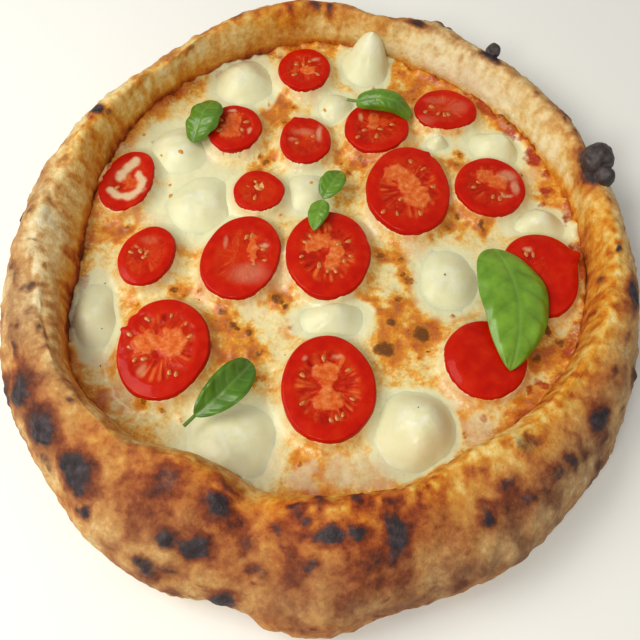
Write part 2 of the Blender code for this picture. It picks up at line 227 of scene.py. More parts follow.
class Finish:
    """A material in the making: an empty tree with its shader and its object coordinates."""

    def __init__(self, name):
        self.material = bpy.data.materials.new(name)
        self.material.use_nodes = True
        self.tree = self.material.node_tree
        self.tree.nodes.clear()
        self.shader = self.add("ShaderNodeBsdfPrincipled")
        self.add("ShaderNodeOutputMaterial", Surface=self.shader.outputs[0])
        self.place = self.add("ShaderNodeTexCoord").outputs["Object"]

    def join(self, node, inputs):
        """Fills inputs by name, or by _number: a socket is linked, all else is a value."""
        for key, value in inputs.items():
            socket = node.inputs[int(key[1:]) if key[1:].isdigit() else key.replace("_", " ")]
            if isinstance(value, bpy.types.NodeSocket):
                self.tree.links.new(value, socket)
            else:
                socket.default_value = value

    def add(self, kind, settings=None, **inputs):
        """A node of that kind. Settings are its own values; inputs are as in join."""
        made = self.tree.nodes.new(kind)
        for key, value in (settings or {}).items():
            setattr(made, key, value)
        self.join(made, inputs)
        return made

    def value(self, name):
        """The value that a mesh stores under that name."""
        return self.add("ShaderNodeAttribute", {"attribute_name": name}).outputs["Fac"]

    def grain(self, size, detail=3.0, roughness=0.55, distortion=0.0):
        """The 0..1 output of a noise texture whose lumps are about that many millimetres."""
        made = self.add("ShaderNodeTexNoise", Vector=self.place, Scale=1 / (size * MM),
                        Detail=detail, Roughness=roughness, Distortion=distortion)
        return made.outputs["Fac"]

    def swing(self, *grain):
        """The same noise, shifted to lie from -0.5 to 0.5."""
        return self.calc("SUBTRACT", self.grain(*grain), 0.5)

    def calc(self, operation, first, second, third=0.0, clamp=False):
        """One sum on numbers or links."""
        settings = {"operation": operation, "use_clamp": clamp}
        return self.add("ShaderNodeMath", settings, _0=first, _1=second, _2=third).outputs[0]

    def scale(self, value, factor, plus=0.0, clamp=False):
        """value times factor, plus something."""
        return self.calc("MULTIPLY_ADD", value, factor, plus, clamp)

    def spots(self, size, detail, sharp, start):
        """Scattered spots: a noise times sharp, plus start, cut off to lie from 0 to 1."""
        return self.scale(self.grain(size, detail), sharp, start, clamp=True)

    def blend(self, factor, first, second):
        """Mixes two colours, each a link or a hex code, by a factor."""
        first, second = (linear(c) if isinstance(c, str) else c for c in (first, second))
        settings = {"data_type": "RGBA", "clamp_factor": True}
        return self.add("ShaderNodeMix", settings, _0=factor, _6=first, _7=second).outputs[2]

    def over(self, colour, amount, factor, plus, laid):
        """One colour laid over another where amount times factor, plus something, is above 0."""
        return self.blend(self.scale(amount, factor, plus, clamp=True), colour, laid)

    def ramp(self, factor, *stops):
        """A colour ramp through (place, hex) stops."""
        made = self.add("ShaderNodeValToRGB", Fac=factor)
        elements = made.color_ramp.elements
        while len(elements) < len(stops):
            elements.new(0.5)
        for element, (place, code) in zip(elements, stops):
            element.position = place
            element.color = linear(code)
        return made.outputs["Color"]

    def bump(self, height, distance, strength, under=None):
        """Bumps of a 0..1 pattern, that many millimetres high, over other bumps if given."""
        more = {"Normal": under} if under else {}
        made = self.add("ShaderNodeBump", Height=height, Distance=distance * MM,
                        Strength=strength, **more)
        return made.outputs["Normal"]

    def glow(self, weight, red, green, blue, scale):
        """Light that sinks in and comes out: how much, how far by colour, and metres for 1."""
        self.join(self.shader, {"Subsurface Weight": weight, "Subsurface Scale": scale,
                                "Subsurface Radius": (red, green, blue)})

    def coat(self, weight, roughness):
        """A thin clear layer of oil or juice."""
        self.join(self.shader, {"Coat Weight": weight, "Coat Roughness": roughness})

    def done(self, **inputs):
        """The material, once the shader's other inputs are filled."""
        self.join(self.shader, inputs)
        return self.material


print("mid grey in linear light:", round(linear("#808080")[0], 3))

# %% [markdown]
# ## The dough crust: its form
# The crust is one loaf of dough: a thin flat base and a tall puffy rim. Its section is
# three quarter-ellipses: the foot, the outer wall up to the crest, and the inner wall down
# to the cheese. One angle, the bend, runs through them: -90 at the flat underside, 0 at
# the widest ring, 90 at the crest and 180 where the inner wall meets the base.

# %% Crust sizes
RIM_OUTER = [
    141, 140, 143, 147, 145.5, 149, 154.5, 152, 159.5, 155, 150, 144.5, 143.5, 143.5, 144, 140.5,
    141, 144, 145, 149.5, 150.5, 154, 154.5, 152, 158.5, 153, 152, 150, 148, 147, 143.5, 142.5,
]
RIM_CREST = [
    129, 130, 132, 136.5, 135.5, 139, 144.5, 142, 149.5, 145, 140, 134, 132.5, 131, 129, 126,
    125, 123.5, 122, 121, 119, 115, 112, 113, 115, 115.5, 116, 116.5, 118, 121, 124, 126.5,
]
RIM_INNER = [121, 126, 129, 133, 140, 136, 129, 117, 111, 115, 112, 103, 107, 108, 110, 118]
RIM_HEIGHT = [34, 33, 33, 32, 32, 32, 31, 32, 34, 35, 36, 37, 38, 37, 36, 35]
RIM_WAIST = 0.34
FOOT_INSET = 9.0
RIM_LUMP = 1.4
BASE_TOP = 4.6
CRUST_COLUMNS = 840
Dent = namedtuple("Dent", "turn before after inner crest height")
DENTS = [Dent(*row) for row in [  # where the rim leaves its course; degrees, then millimetres
    (206, 16, 14, 4.0, 1.0, 0.0), (256, 5, 8, 2.5, 6.5, -3.0), (301, 9, 9, -2.0, -3.5, 0.5),
    (230, 4, 4, 1.0, 2.0, -1.0), (241, 5, 5, -1.0, -2.0, 0.8), (168, 6, 2.5, 0.0, 0.0, 1.2),
    (150, 5, 2.5, 0.0, 0.5, 1.0), (132, 5, 3, 0.0, 0.5, 0.8), (96, 6, 3, 0.0, 0.5, 1.0),
]]


def rim_lump(turn, level):
    """Uneven puffs: three waves of different lengths that drift with the level."""
    waves = np.sin(6 * turn + 2.1 * level) + np.sin(11 * turn - 1.7 * level + 1.0)
    return RIM_LUMP * (0.4 * waves + 0.3 * np.sin(19 * turn + 3.0 * level + 2.0))


def dented(values, turn, shift):
    """A rim curve plus its dents: a bell round each place, with a width on either side."""
    curve = around(values, turn)
    for dent in DENTS:
        away = turned_from(turn, dent.turn)
        width = np.where(away < 0, dent.before, dent.after)
        curve = curve + getattr(dent, shift) * bell(away, width)
    return curve


def rim_surface(turn, bend):
    """Points of the crust at a turn and a bend: three quarter-ellipses, joined end to end."""
    outer, crest = around(RIM_OUTER, turn), dented(RIM_CREST, turn, "crest")
    inner, height = dented(RIM_INNER, turn, "inner"), dented(RIM_HEIGHT, turn, "height")
    waist = height * RIM_WAIST
    foot, over = bend + math.pi / 2, bend - math.pi / 2
    low = rim_lump(turn, 0)
    high = rim_lump(turn, bend)
    radius = np.select(
        [bend < 0, bend < math.pi / 2],
        [outer - FOOT_INSET * (1 - np.sin(foot)) + low * np.sin(foot),
         crest + (outer - crest + high) * np.cos(bend)],
        crest - (crest - inner) * np.sin(over),
    )
    level = np.select(
        [bend < 0, bend < math.pi / 2],
        [waist * (1 - np.cos(foot)), waist + (height - waist + high) * np.sin(bend)],
        BASE_TOP + (height + high * np.cos(over) - BASE_TOP) * np.cos(over),
    )
    return np.stack([radius * np.cos(turn), radius * np.sin(turn), level], -1)


crest_line = rim_surface(np.linspace(0, math.tau, 9), np.full(9, math.pi / 2))
print("crest heights round the rim:", crest_line[:, 2].round(1))

# %% [markdown]
# ## The crust: where it is browned and burnt
# A wood fire browns the rim unevenly. Two smooth maps say how far each place is baked and
# how golden it is, by belts that run round the rim, every 30 degrees. On top come the
# blisters that the flame has charred. They are placed where the real ones are, and a
# seeded draw adds the freckles and the burns of the side that the eye doesn't see.
# The lowest belts, at the foot of the inner wall, also darken the dough as painted shade where the
# rim meets the cheese, most on the left.

# %% Baking maps
BELTS = [-90, 0, 35, 62, 92, 125, 148, 158, 168]  # bends of the belts
BAKED_AND_SHADE = {  # from white dough 0 to deep brown 1, every 30 degrees from +X
    -90: [0.34] * 12,
    0: [0.44, 0.38, 0.34, 0.34, 0.34, 0.34, 0.36, 0.42, 0.43, 0.56, 0.56, 0.52],
    35: [0.44, 0.34, 0.30, 0.36, 0.38, 0.34, 0.44, 0.46, 0.43, 0.60, 0.54, 0.48],
    62: [0.42, 0.40, 0.32, 0.40, 0.36, 0.30, 0.54, 0.64, 0.64, 0.70, 0.62, 0.54],
    92: [0.32, 0.46, 0.33, 0.52, 0.26, 0.30, 0.15, 0.42, 0.52, 0.60, 0.30, 0.50],
    125: [0.38, 0.20, 0.12, 0.42, 0.14, 0.32, 0.25, 0.34, 0.32, 0.42, 0.34, 0.36],
    148: [0.44, 0.08, 0.00, 0.28, 0.34, 0.30, 0.42, 0.42, 0.34, 0.44, 0.42, 0.40],
    # Belts 158 and 168, at the foot of the inner wall, are darker partly from browning and partly
    # as painted shade where the rim meets the cheese.
    158: [0.46, 0.08, 0.02, 0.38, 0.46, 0.54, 0.68, 0.54, 0.36, 0.46, 0.44, 0.52],
    168: [0.66, 0.54, 0.46, 0.78, 0.86, 0.94, 1.00, 0.70, 0.48, 0.56, 0.56, 0.66],
}
GOLDEN = {  # from beige 0 to orange-gold 1
    -90: [0.1] * 12,
    0: [0.10, 0.10, 0.15, 0.20, 0.20, 0.15, 0.20, 0.30, 0.40, 0.35, 0.10, 0.05],
    35: [0.10, 0.10, 0.15, 0.20, 0.30, 0.20, 0.20, 0.28, 0.28, 0.26, 0.10, 0.05],
    62: [0.30, 0.20, 0.20, 0.35, 0.45, 0.25, 0.12, 0.36, 0.50, 0.50, 0.50, 0.35],
    92: [1.00, 0.40, 0.25, 0.80, 0.85, 0.80, 0.08, 0.30, 0.85, 0.95, 1.00, 1.00],
    125: [1.00, 0.60, 0.25, 0.90, 0.80, 1.00, 0.50, 0.60, 0.60, 1.00, 1.00, 1.00],
    148: [0.90, 0.70, 0.30, 0.80, 0.90, 1.00, 1.00, 0.90, 0.70, 1.00, 1.00, 1.00],
    158: [0.95, 0.75, 0.40, 0.85, 0.95, 1.00, 1.00, 0.90, 0.80, 1.00, 1.00, 1.00],
    168: [1.00, 0.90, 0.80, 1.00, 1.00, 1.00, 1.00, 0.90, 0.90, 1.00, 1.00, 1.00],
}
STREAKED = [1.0, 0.5, 0.3, 0.35, 0.45, 0.8, 0.9, 0.5, 0.5, 1.0, 1.2, 1.2]  # and how streaky
Burn = namedtuple("Burn", "turn bend half_turn half_bend depth")
BURNS = [Burn(*row) for row in [
    (18.5, 95, 4.3, 32, 1.0), (10, 78, 1.0, 5, 0.5), (358, 86, 1.6, 10, 0.85),
    (349.5, 60, 3.4, 15, 0.95), (352, 128, 1.5, 9, 0.7), (340.5, 60, 1.8, 6, 0.5),
    (332.5, 65, 1.3, 4, 0.6), (324, 54, 2.4, 8, 0.9), (314.5, 53, 1.3, 6, 0.75),
    (311, 52, 1.6, 5, 0.65), (305, 54, 1.4, 4, 0.6), (303, 67, 2.0, 6, 0.6),
    (317.5, 45, 1.0, 4, 0.5), (323, 37, 1.0, 4, 0.4), (318.5, 15, 1.3, 8, 0.6),
    (336, 27, 1.2, 5, 0.7), (297.5, 60, 1.5, 5, 0.9), (290, 80, 2.0, 4, 0.25),
    (282, 72, 1.9, 14, 0.9), (281.5, 58, 1.5, 5, 0.8), (278, 58, 1.3, 4, 0.5),
    (276, 104, 1.4, 16, 0.6), (275.5, 75, 2.2, 5, 0.9), (271, 77, 2.5, 5, 0.85),
    (270, 104, 1.3, 18, 0.65), (268.5, 61, 1.2, 4, 0.7), (265, 92, 1.4, 6, 0.55),
    (260, 52, 1.4, 5, 0.55), (264, 70, 1.0, 3, 0.5), (251.5, 78, 3.3, 7, 0.85),
    (251.5, 98, 1.8, 12, 0.5), (241.5, 78, 2.8, 8, 0.6), (250, 53, 2.3, 7, 1.0),
    (246, 52, 2.1, 7, 0.95), (244.5, 27, 1.7, 9, 0.8), (247.5, 30, 3.0, 3, 0.5),
    (255.3, 16, 2.1, 9, 1.0), (248.8, 6, 1.2, 5, 0.45), (227, 53, 3.8, 12, 1.0),
    (232, 36, 1.5, 7, 0.95), (217.5, 50, 3.3, 16, 1.0), (221.5, 35, 1.5, 6, 0.6),
    (209.3, 47, 2.9, 14, 0.95), (206.5, 18, 2.6, 14, 1.0), (201, 52, 2.2, 3, 0.6),
    (193, 50, 2.0, 6, 0.45), (184.5, 53, 0.8, 6, 0.6), (187, 65, 1.4, 5, 0.5),
    (190.2, 87, 0.8, 7, 0.6), (190, 108, 0.5, 14, 0.4), (199, 85, 1.1, 5, 0.6),
    (201, 96, 1.4, 8, 0.4), (217, 87, 0.8, 3, 0.7), (215.5, 106, 1.8, 10, 0.3),
    (176.5, 98, 2.0, 8, 0.35), (173.5, 78, 1.3, 6, 0.5), (183, 80, 1.5, 8, 0.35),
    (185, 112, 1.0, 8, 0.5), (158.5, 92, 1.0, 6, 0.5), (151, 90, 1.0, 5, 0.4),
    (144.8, 80, 1.8, 22, 0.85), (132.5, 95, 1.5, 18, 0.4), (124.5, 85, 1.2, 12, 0.45),
    (136, 105, 1.0, 12, 0.25), (120, 105, 1.0, 14, 0.5), (107.5, 75, 1.2, 10, 0.6),
    (96.5, 105, 0.8, 10, 0.5), (99, 105, 0.7, 8, 0.4), (91, 105, 1.0, 14, 0.6),
    (88.2, 108, 0.9, 20, 0.7), (70, 86, 1.3, 13, 0.75), (55.5, 105, 0.7, 12, 0.4),
    (52.3, 80, 2.0, 16, 1.0), (39.5, 98, 0.7, 8, 0.5), (31.5, 70, 1.5, 12, 0.65),
    (27.5, 78, 1.0, 8, 0.5), (42, 152, 2.0, 6, 0.3), (258, 66, 1.2, 4, 0.55),
    (213, 16, 4.0, 8, 0.5), (69.8, 97, 1.0, 5, 0.8), (143.5, 108, 0.8, 10, 0.6),
    (178, 70, 1.4, 5, 0.3), (263, 80, 2.0, 4, 0.55), (267, 84, 1.6, 4, 0.7),
    (300, 84, 2.2, 4, 0.4), (357, 106, 2.0, 10, 0.35), (348, 104, 2.0, 9, 0.35),
    (31, 87, 0.8, 5, 0.7), (62, 88, 0.8, 4, 0.4), (311, 84, 3.4, 8, 0.55), (195, 84, 0.7, 9, 0.5),
    (190, 78, 0.5, 12, 0.5), (204, 92, 0.6, 8, 0.45), (180, 88, 0.5, 10, 0.45),
]]


def seeded(kind, count, turns, bends, halves, amounts, stretches):
    """Extra ovals of a kind, drawn evenly: each range is that of one value, in degrees."""
    turn, bend = random.uniform(*turns, count), random.uniform(*bends, count)
    half, amount = random.uniform(*halves, count), random.uniform(*amounts, count)
    stretch = random.uniform(*stretches, count)
    return [kind(*row) for row in zip(turn, bend, half, half * stretch, amount)]


BURN_STRETCH = (1.5, 4.0)
BURNS += seeded(Burn, 70, (185, 355), (-20, 70), (0.35, 0.8), (0.3, 0.6), BURN_STRETCH)
BURNS += seeded(Burn, 60, (0, 185), (-20, 60), (0.35, 0.9), (0.3, 0.6), BURN_STRETCH)
BURNS += seeded(Burn, 22, (5, 180), (5, 55), (1.2, 3.2), (0.7, 1.0), BURN_STRETCH)
BURNS += seeded(Burn, 40, (260, 360), (80, 120), (0.3, 0.9), (0.15, 0.4), BURN_STRETCH)
print("burns on the crust:", len(BURNS))

# %% [markdown]
# ## The crust: its skin
# The grid is about a millimetre each way. The relief is added along its normals: broad
# swells, streaks on the inner side, crags on the outer side, and a blister on each burn.
# Creased puffs lie over it like tiles: where two of them meet, the dough folds in.

# %% Crust surface
Puff = namedtuple("Puff", "turn bend half_turn half_bend height")
PUFFS = [Puff(*row) for row in [
    (172.5, 80, 6.5, 26, 2.0), (197, 130, 10, 22, 2.0), (139.5, 98, 4.0, 26, 1.3),
    (80, 128, 7, 28, 1.1), (60, 138, 12, 28, 1.3), (227.5, 37, 2.4, 7, 1.1),
    (260, 71, 3.6, 8, 0.9), (212, 82, 8, 14, 1.3), (40, 120, 9, 30, 1.2), (108, 120, 8, 34, 1.3),
    (157, 112, 8, 24, 1.2), (12, 128, 8, 24, 1.2), (350, 118, 7, 20, 1.2), (330, 108, 8, 18, 1.2),
    (308, 102, 8, 14, 1.0), (285, 98, 7, 14, 1.0), (242, 84, 8, 14, 1.2), (275, 84, 5, 12, 0.9),
    (125, 112, 5, 30, 1.0), (96, 118, 4, 26, 0.9),
]]
PUFFS += seeded(Puff, 90, (0, 360), (-30, 150), (1.2, 3.4), (0.3, 0.9), (2.2, 4.5))
PUFF_WOBBLE = (0.22, 8.0, 15, 1)  # this row and those below are for waves()
TURN_WOBBLE = [(1.1, 7.0, 11, 1), (0.5, 2.6, 12, 1)]  # degrees by which a burn's edge strays
BEND_WOBBLE = [(5.0, 7.0, 13, 1), (2.2, 2.6, 14, 1)]
PUFFY = [(0.80, 17, 21, 3), (0.35, 5.5, 25, 1), (0.20, 2.4, 26, 1)]  # relief in millimetres
CRAGGY = [(0.55, 3.4, 28, 1), (0.30, 1.9, 30, 1)]
STREAKY = (0.25, 3.2, 27, 1)
BLISTERED = (0.45, 2.6, 29, 1)
BLISTER_HEIGHT = 0.9
WIDE_BURN = 1.5  # half width in degrees from which a burn's edge strays fully
CHAR_EDGE, SCORCH_EDGE = (1.35, 0.45), (1.9, 0.8)  # in half widths of the burn
STREAK_CLIMB = 0.10  # millimetres of noise for a degree of bend: few, so it forms streaks
FOLD_DEPTH, FOLD_BEND, FOLD_WIDTH = 0.9, 166, 9  # the groove along the foot of the inner wall
OUTER_SIDE, INNER_SIDE, OUTER_BROWN = (95, 50), (80, 120), (120, 85)  # bends of soft steps
SCORCH_DARKENS = 0.38
OUTER_BLOTCHES, BLOTCHES, GOLD_BLOTCHES = (0.21, 10, 36, 3), (0.10, 11, 31, 3), (0.15, 14, 41, 3)
PALE_SHARE = 0.55  # noise makes dough paler only this much
DARK_FROM, DARK_SHARE = 0.84, 0.45  # and darker only this much, past a deep brown
BENDS = np.concatenate([  # of the rings on the foot, the outer wall and the inner wall
    np.linspace(-90, 0, 11)[:-1], np.linspace(0, 90, 43)[:-1], np.linspace(90, 180, 34),
])
UNDER_SHARES = np.linspace(0.06, 0.985, 14)[:, None, None]  # rings of the flat underside
HIDDEN_SHARES = np.linspace(0.94, 0.10, 6)[:, None, None]  # rings under the cheese


def belt_map(table, turn, bend):
    """Value between belts: a smooth curve round each belt, straight lines from belt to belt."""
    levels = np.stack([around(table[belt], turn) for belt in BELTS])
    place = np.interp(np.degrees(bend), BELTS, np.arange(len(BELTS)))
    first = np.minimum(place.astype(int), len(BELTS) - 2)
    part = place - first
    low = np.take_along_axis(levels, first[None], 0)[0]
    high = np.take_along_axis(levels, first[None] + 1, 0)[0]
    return low + (high - low) * part


def burn_map(points, turn, bend):
    """(char, scorch): each burn is a ragged oval, and scorch is its wider brown halo."""
    wobble_turn, wobble_bend = waves(points, *TURN_WOBBLE), waves(points, *BEND_WOBBLE)
    char, scorch = np.zeros(turn.shape), np.zeros(turn.shape)
    for burn in BURNS:
        away = turned_from(turn, burn.turn)
        near = np.abs(away) < 4 * burn.half_turn + 2
        strength = min(burn.half_turn, WIDE_BURN) / WIDE_BURN
        x = (away[near] + wobble_turn[near] * strength) / burn.half_turn
        y = (np.degrees(bend[near]) - burn.bend + wobble_bend[near] * strength) / burn.half_bend
        gone = np.hypot(x, y)
        char[near] = np.maximum(char[near], burn.depth * soft_step(gone, *CHAR_EDGE))
        scorch[near] = np.maximum(scorch[near], burn.depth * soft_step(gone, *SCORCH_EDGE))
    return char, scorch


def puff_map(turn, bend, points):
    """Low domes with a crease round them: height times 1 - q2, q being 1 at the crease."""
    wobble = waves(points, PUFF_WOBBLE)
    lift = np.zeros(turn.shape)
    for puff in PUFFS:
        x = turned_from(turn, puff.turn) / puff.half_turn
        y = (np.degrees(bend) - puff.bend) / puff.half_bend
        q = np.hypot(x, y) + wobble
        lift = np.maximum(lift, puff.height * np.clip(1 - q * q, 0, 1))
    return lift


def crust_lift(plain, streak, turn, bend, char):
    """Relief along the normal: puffs, streaks, crags, blisters and the groove at the foot."""
    degrees = np.degrees(bend)
    lift = waves(plain, *PUFFY)
    lift += waves(streak, STREAKY) * soft_step(degrees, *INNER_SIDE)
    lift += waves(plain, *CRAGGY) * soft_step(degrees, *OUTER_SIDE)
    lift += char * (BLISTER_HEIGHT + waves(plain, BLISTERED))
    lift -= FOLD_DEPTH * bell(degrees - FOLD_BEND, FOLD_WIDTH)
    return lift + puff_map(turn, bend, plain)


def crust_baked_and_shade(plain, streak, turn, bend, scorch):
    """How browned each place is: its belts, plus scorch round the burns, blotches and streaks.
    At the foot of the inner wall the belts add painted shade to the browning. What is paler
    than the belts, or darker than a deep brown, is drawn back part of the way."""
    degrees = np.degrees(bend)
    base = belt_map(BAKED_AND_SHADE, turn, bend)
    baked_and_shade = base + SCORCH_DARKENS * scorch
    baked_and_shade += waves(plain, OUTER_BLOTCHES) * soft_step(degrees, *OUTER_BROWN)
    stripes = soft_step(degrees, 70, 92) * around(STREAKED, turn)
    baked_and_shade += waves(plain, BLOTCHES) + (0.07 + 0.22 * stripes) * rough(streak, 3.0, 34, 2)
    baked_and_shade = np.where(baked_and_shade < base, base + PALE_SHARE * (baked_and_shade - base), baked_and_shade)
    return np.where(baked_and_shade > DARK_FROM, DARK_FROM + DARK_SHARE * (baked_and_shade - DARK_FROM), baked_and_shade)


def make_crust():
    """Rings of the underside, then of the foot and both walls, then under the cheese."""
    turn, bend = np.broadcast_arrays(circle(CRUST_COLUMNS)[None], np.radians(BENDS)[:, None])
    degrees = np.degrees(bend)
    plain = rim_surface(turn, bend)
    streak = np.stack([plain[..., 0], plain[..., 1], degrees * STREAK_CLIMB], -1)
    char, scorch = burn_map(plain, turn, bend)
    open_air = soft_step(degrees, -80, -40) * soft_step(degrees, 178, 160)
    lift = crust_lift(plain, streak, turn, bend, char) * open_air
    shaped = plain + outward(plain) * lift[..., None]
    under = shaped[:1] * UNDER_SHARES * (1, 1, 0)
    hidden = shaped[-1:] * HIDDEN_SHARES
    hidden[..., 2] = shaped[-1:, :, 2]
    rings = np.concatenate([under, shaped, hidden])
    rings[..., 2] = np.maximum(rings[..., 2], 0)

    def fill(values, low, high):
        """Values of the shaped rings, with one value for the rings at either end."""
        below = np.full((len(UNDER_SHARES), CRUST_COLUMNS), low)
        inside = np.full((len(HIDDEN_SHARES), CRUST_COLUMNS), high)
        return with_poles(np.concatenate([below, values, inside]))

    baked_and_shade = crust_baked_and_shade(plain, streak, turn, bend, scorch)
    golden = belt_map(GOLDEN, turn, bend) + waves(plain, GOLD_BLOTCHES)
    values = {
        "baked_and_shade": fill(np.clip(baked_and_shade, 0, 1.2), 0.35, 0.8),
        "golden": fill(np.clip(golden, 0, 1), 0.1, 0.9),
        "char": fill(char, 0, 0),
        "underside": fill(soft_step(degrees, -60, -85), 1, 0),
    }
    points, faces = skin(rings, [(0, 0, 0), (0, 0, BASE_TOP)])
    return new_piece("crust_skin", points, faces, values)


crust = make_crust()
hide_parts("crust")
print("crust:", len(crust.data.polygons), "faces")

# %% [markdown]
# ## The crust: its finish
# Baked wheat dough is matt and slightly translucent, with flour left on it. Two ramps run
# from pale dough to brown, one beige and one orange-gold, and the golden map blends them.
# Char is nearly black, with grey ash and a painted bluish sheen in its colour. A fine
# noise breaks up every edge.
# At the foot of the inner wall part of that brown is painted shade.

# %% Baked dough
def baked_dough():
    dough = Finish("baked_wheat_dough")
    golden = dough.value("golden")
    fine = dough.swing(2.2, 4.0)
    # At the foot of the inner wall this value holds painted shade as well as browning.
    baked_and_shade = dough.scale(fine, 0.40, dough.value("baked_and_shade"))
    baked_and_shade = dough.scale(dough.swing(7.0, 3.0), 0.26, baked_and_shade)
    blotch = dough.scale(dough.grain(4.2, 3.0, 0.5), 3.4, -1.2, clamp=True)
    blotch = dough.scale(dough.calc("SUBTRACT", blotch, 0.45), golden)
    baked_and_shade = dough.scale(blotch, 0.15, baked_and_shade)
    freckle = dough.scale(dough.spots(1.5, 2.0, 7.0, -4.4), golden)
    baked_and_shade = dough.scale(freckle, 0.22, baked_and_shade)
    beige = dough.ramp(baked_and_shade, (0.0, "#ece0bd"), (0.22, "#dac59a"), (0.42, "#b48f62"),
                       (0.62, "#8d6745"), (0.82, "#67402a"), (1.0, "#40251d"))
    gold = dough.ramp(baked_and_shade, (0.0, "#efe2b4"), (0.22, "#e3bb62"), (0.42, "#d48e22"),
                      (0.62, "#c26811"), (0.82, "#9a3e09"), (1.0, "#571f0b"))
    colour = dough.blend(golden, beige, gold)
    leopard = dough.scale(fine, 0.25, dough.grain(13.0, 3.0, 0.6, 0.6))
    leopard = dough.ramp(leopard, (0.44, "#d8bd8c"), (0.52, "#b98b55"), (0.60, "#6f4424"),
                         (0.68, "#2f1f19"))
    colour = dough.blend(dough.value("underside"), colour, leopard)
    # Char: grey ash, its lighter purplish greys a painted sheen.
    ash_and_sheen = dough.ramp(dough.grain(3.2), (0.25, "#1b1315"), (0.50, "#2f2327"), (0.80, "#50424a"))
    edge = dough.scale(fine, 0.5, dough.value("char"))
    edge = dough.scale(edge, 1.9, -0.54, clamp=True)
    colour = dough.blend(edge, colour, ash_and_sheen)
    pores = dough.bump(dough.grain(0.9), 0.35, 0.6)
    crackle = dough.bump(dough.grain(3.0, 4.0, 0.6), 0.9, 0.6, pores)
    dough.glow(0.12, 1.0, 0.5, 0.25, scale=0.003)
    return dough.done(Base_Color=colour, Roughness=dough.scale(edge, -0.20, 0.76),
                      Specular_IOR_Level=0.3, Normal=crackle)


crust.data.materials.append(baked_dough())
print("the crust wears", crust.data.materials[0].name)

# %% [markdown]
# ## The burnt bubbles
# Where steam swelled the dough right out of the rim, a hollow bubble stands on it and the
# fire has turned it to charcoal. Two balls on the right make one such knob, and a small one
# stands at the back right. Each is a sphere with its radius shaken by noise.

# %% Burnt bubbles
Bubble = namedtuple("Bubble", "turn bend size reach")
BUBBLES = [Bubble(*row) for row in [  # size is the radius, and reach is how far out it sits
    (19.2, 76, 7.2, 2.8), (15.6, 70, 5.0, 1.6), (52.6, 68, 3.5, 2.2),
]]
BUBBLE_GRID = 72, 45, 88  # columns, rows and latitude
BUBBLE_NOISE = [(0.14, 4.2, 121, 1), (0.06, 1.9, 122, 1)]


def make_bubble(number):
    """A ball on the rim whose radius is its size times 1 plus noise."""
    bubble = BUBBLES[number]
    turn, bend = np.radians([bubble.turn]), np.radians([bubble.bend])
    foot = rim_surface(turn, bend)[0]
    right = rim_surface(turn + 0.01, bend)[0] - foot
    out = np.cross(right, rim_surface(turn, bend + 0.01)[0] - foot)
    middle = foot + bubble.reach * out / np.linalg.norm(out)
    unit = ball(*BUBBLE_GRID)
    radius = bubble.size * (1 + waves(unit * bubble.size + 40 * number, *BUBBLE_NOISE))
    points, faces = skin(middle + unit * radius[..., None])
    return new_piece(f"burnt_bubble_{number + 1:02d}", points, faces)


def charcoal():
    char = Finish("charred_dough_bubble")
    # Charcoal, its lighter bluish greys a painted sheen.
    colour = char.ramp(char.grain(3.6, 4.0, 0.6), (0.28, "#1f1716"), (0.50, "#3a302f"),
                       (0.70, "#574c4f"), (0.85, "#6f666c"))
    crackle = char.bump(char.grain(1.8, 4.0, 0.6), 0.6, 0.7)
    return char.done(Base_Color=colour, Roughness=0.55, Normal=crackle)


charcoal_finish = charcoal()
for number in range(len(BUBBLES)):
    make_bubble(number).data.materials.append(charcoal_finish)
print("burnt bubbles:", len(BUBBLES))

# %% [markdown]
# ## The tomato slices and the mozzarella: where they lie
# Both lie on the cheese, so the cheese has to know them: it is pulled up wet round a
# slice, and it turns to soft white milk round a lump. So their places come first. A slice
# is an ellipse, some drawn out to a point; a lump is a wavy ellipse that stops short of
# every slice.

# %% Toppings and the height of the cheese
Tomato = namedtuple("Tomato", "x y width length turn thickness point towards")
TOMATOES = [Tomato(*row) for row in [
    (-9, 119, 28, 28, 0, 6.5, 0.00, 0), (-44, 80, 28, 29, 0, 6.5, 0.04, 250),
    (-8, 73, 26, 29, -8, 6.0, 0.05, 130), (-31, 42, 24, 24, 0, 5.5, 0.12, 8),
    (-95, 47, 25, 37, -16, 6.0, 0.06, 65), (-81, 5, 25, 33, -22, 6.5, 0.00, 0),
    (-37, 5, 36, 46, -14, 6.5, 0.08, 205), (3, 6, 40, 47, 0, 6.5, 0.02, 300),
    (28, 81, 33, 32, 0, 6.5, 0.00, 0), (63, 92, 31, 27, -8, 6.0, 0.10, 352),
    (42, 42, 41, 51, 0, 7.0, 0.02, 300), (82, 44, 34, 34, -10, 6.5, 0.05, 0),
    (100, -5, 34, 44, 8, 7.0, 0.10, 38), (71, -47, 36, 38, -20, 7.0, 0.03, 330),
    (-69, -42, 41, 49, -6, 7.0, 0.02, 150), (3, -60, 41, 49, 4, 7.0, 0.02, 250),
]]
Lump = namedtuple("Lump", "x y width length turn height lean_x lean_y")
MOZZARELLA = [Lump(*row) for row in [
    (-41, 115, 34, 34, 0, 8.0, 0, 0), (24, 126, 26, 32, 0, 16.0, 3, 7),
    (8, 98, 22, 20, 0, 5.0, 0, 0), (87, 70, 34, 20, -30, 7.0, 3, 2),
    (-72, 70, 34, 34, 0, 5.5, 0, 0), (-58, 37, 40, 36, 30, 5.5, 0, 0),
    (104, 24, 30, 22, -10, 7.0, 0, 2), (5, -26, 36, 18, 6, 6.5, 0, 2),
    (59, -5, 25, 34, 0, 6.0, 0, 0), (39, -78, 36, 40, -12, 12.0, 2, 2),
    (-38, -83, 34, 34, 20, 7.5, 0, 0), (-103, -24, 18, 42, 6, 5.5, 0, 0),
    (-7, 45, 20, 26, 0, 5.0, 0, 0), (59, 74, 14, 12, 0, 4.5, 0, 0),
]]
